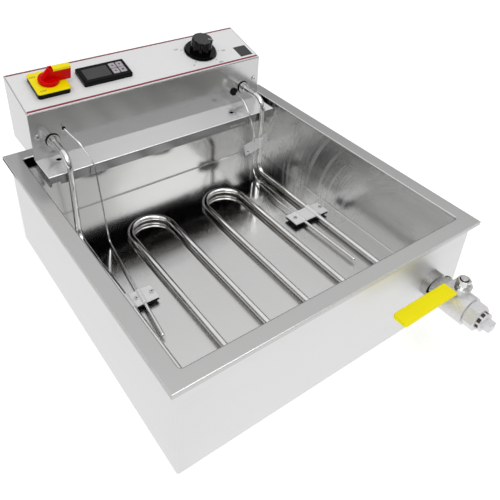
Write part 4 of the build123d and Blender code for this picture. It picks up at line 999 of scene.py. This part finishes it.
cap_low, cap_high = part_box("valve_end_cap")
cap_mouth = ((cap_low[0] + cap_high[0]) / 2, cap_low[1], (cap_low[2] + cap_high[2]) / 2)
plug_axis = Matrix.Translation(cap_mouth) @ FORWARD
add_piece("plug_sealant", ring(SEALANT, plug_axis), "pipe_sealant", "pan")
lugs = []
for lug in range(LUGS):
    turned = plug_axis @ Matrix.Rotation(2 * math.pi * lug / LUGS, 4, "Z")
    lugs.append(ring(LUG, turned, LUG_SWEEP, LUG_STEPS))
lugs.append(ring(COLLAR, plug_axis))
add_piece("plug_lugs", joined(lugs), "cast_stainless", "pan")
print(LUGS, "lugs about a drain axis", round(cap_mouth[2] / MM, 1), "mm up")

# %% [markdown]
# ## The groove in the lever's nut
# The stem comes up through the nut that holds the lever, and the gap between them lies in shade. The gap
# could be cut, but the solids stay whole, so a thin black ring of painted shade lies on the nut and turns
# with the lever.

# %% Nut groove
GROOVE = rectangle(5.1, 0.0, 6.2, 0.06)
nut_low, nut_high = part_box("lever_nut")
stem_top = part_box("valve_stem")[1][2]
nut_axis = Matrix.Translation(((nut_low[0] + nut_high[0]) / 2, (nut_low[1] + nut_high[1]) / 2, nut_high[2]))
add_piece("nut_groove", ring(GROOVE, nut_axis), "dark_recess", "lever")
print("nut", round((nut_high[2] - nut_low[2]) / MM, 1), "mm high; the stem's top is",
      round((stem_top - nut_high[2]) / MM, 1), "mm above it")

# %% [markdown]
# ## Screws on the leg clip
# Two small pan-head screws hold the clip on the heater's legs, one near each end. A flattened ball would do
# from afar, but a spun outline gives the flat seat and the rounded shoulder of a real head. The clip's ends
# lie at different heights, so the height of each is read from the clip's own points.

# %% Clip screws
PAN_HEAD = [(0.3, 0.0), (2.6, 0.0), (2.4, 0.9), (1.4, 1.4), (0.3, 1.5)]
PAN_HEAD_STEPS = 24
CLIP_END = 6 * MM
SCREW_INSET = 5 * MM
clip_points = [vert.co for vert in nodes["leg_clip"].data.vertices]
clip_low, clip_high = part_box("leg_clip")
heads = []
for tip, inset in ((clip_low[0], SCREW_INSET), (clip_high[0], -SCREW_INSET)):
    end = [point for point in clip_points if abs(point.x - tip) < CLIP_END]
    middle_z = sum(point.z for point in end) / len(end)
    seat = Matrix.Translation((tip + inset, clip_low[1], middle_z)) @ FORWARD
    heads.append(ring(PAN_HEAD, seat, steps=PAN_HEAD_STEPS))
print(len(heads), "clip screws")
add_piece("clip_screws", joined(heads), "bright_hardware", "head")

# %% [markdown]
# ## Key symbols and switch marks
# The controller's keys carry plain symbols, an arrow up, an arrow down, a cross and a square, and the switch
# plate says where off and on are. They could share one printed sheet, but each key moves by itself, so each
# symbol is a piece that rides on its key. The middle of a key's outermost face tells where the symbol lies.

# %% Symbols and marks
SYMBOLS = {1: [(-2.2, -1.6), (2.2, -1.6), (0.0, 2.2)], 2: [(-2.2, 1.6), (0.0, -2.2), (2.2, 1.6)],
           3: cross(2.2, 0.6), 4: rectangle(-1.8, -1.8, 1.8, 1.8)}
SWITCH_MARKS = {"OFF": (-15.0, -19.0), "ON": (-19.0, 15.0)}
SAME_FACE = 0.05 * MM


def top_of(name, towards):
    """The middle of a solid's outermost points along a direction."""
    points = [vert.co for vert in nodes[name].data.vertices]
    furthest = max(point.dot(towards) for point in points)
    top = [point for point in points if furthest - point.dot(towards) < SAME_FACE]
    return sum(top, Vector()) / len(top)


for number, outline in SYMBOLS.items():
    key_place = Matrix.Translation(top_of("controller_key_%d" % number, panel_out)) @ panel_turn
    add_piece("key_symbol_%d" % number, mark(outline, key_place), "dark_ink", "key_%d" % number)
plate_place = Matrix.Translation(top_of("switch_plate", panel_out)) @ panel_turn
for text, (x, u) in SWITCH_MARKS.items():
    mark_place = plate_place @ Matrix.Translation(Vector((x, u, INK / 2)) * MM)
    add_piece("switch_mark_" + text, printed(text, mark_place), "dark_ink", "head")
print(len(SYMBOLS), "key symbols and", len(SWITCH_MARKS), "switch marks")

# %% [markdown]
# ## Close
# The dressed fryer may not outgrow its solids.

# %% Finish
print("dressing done")
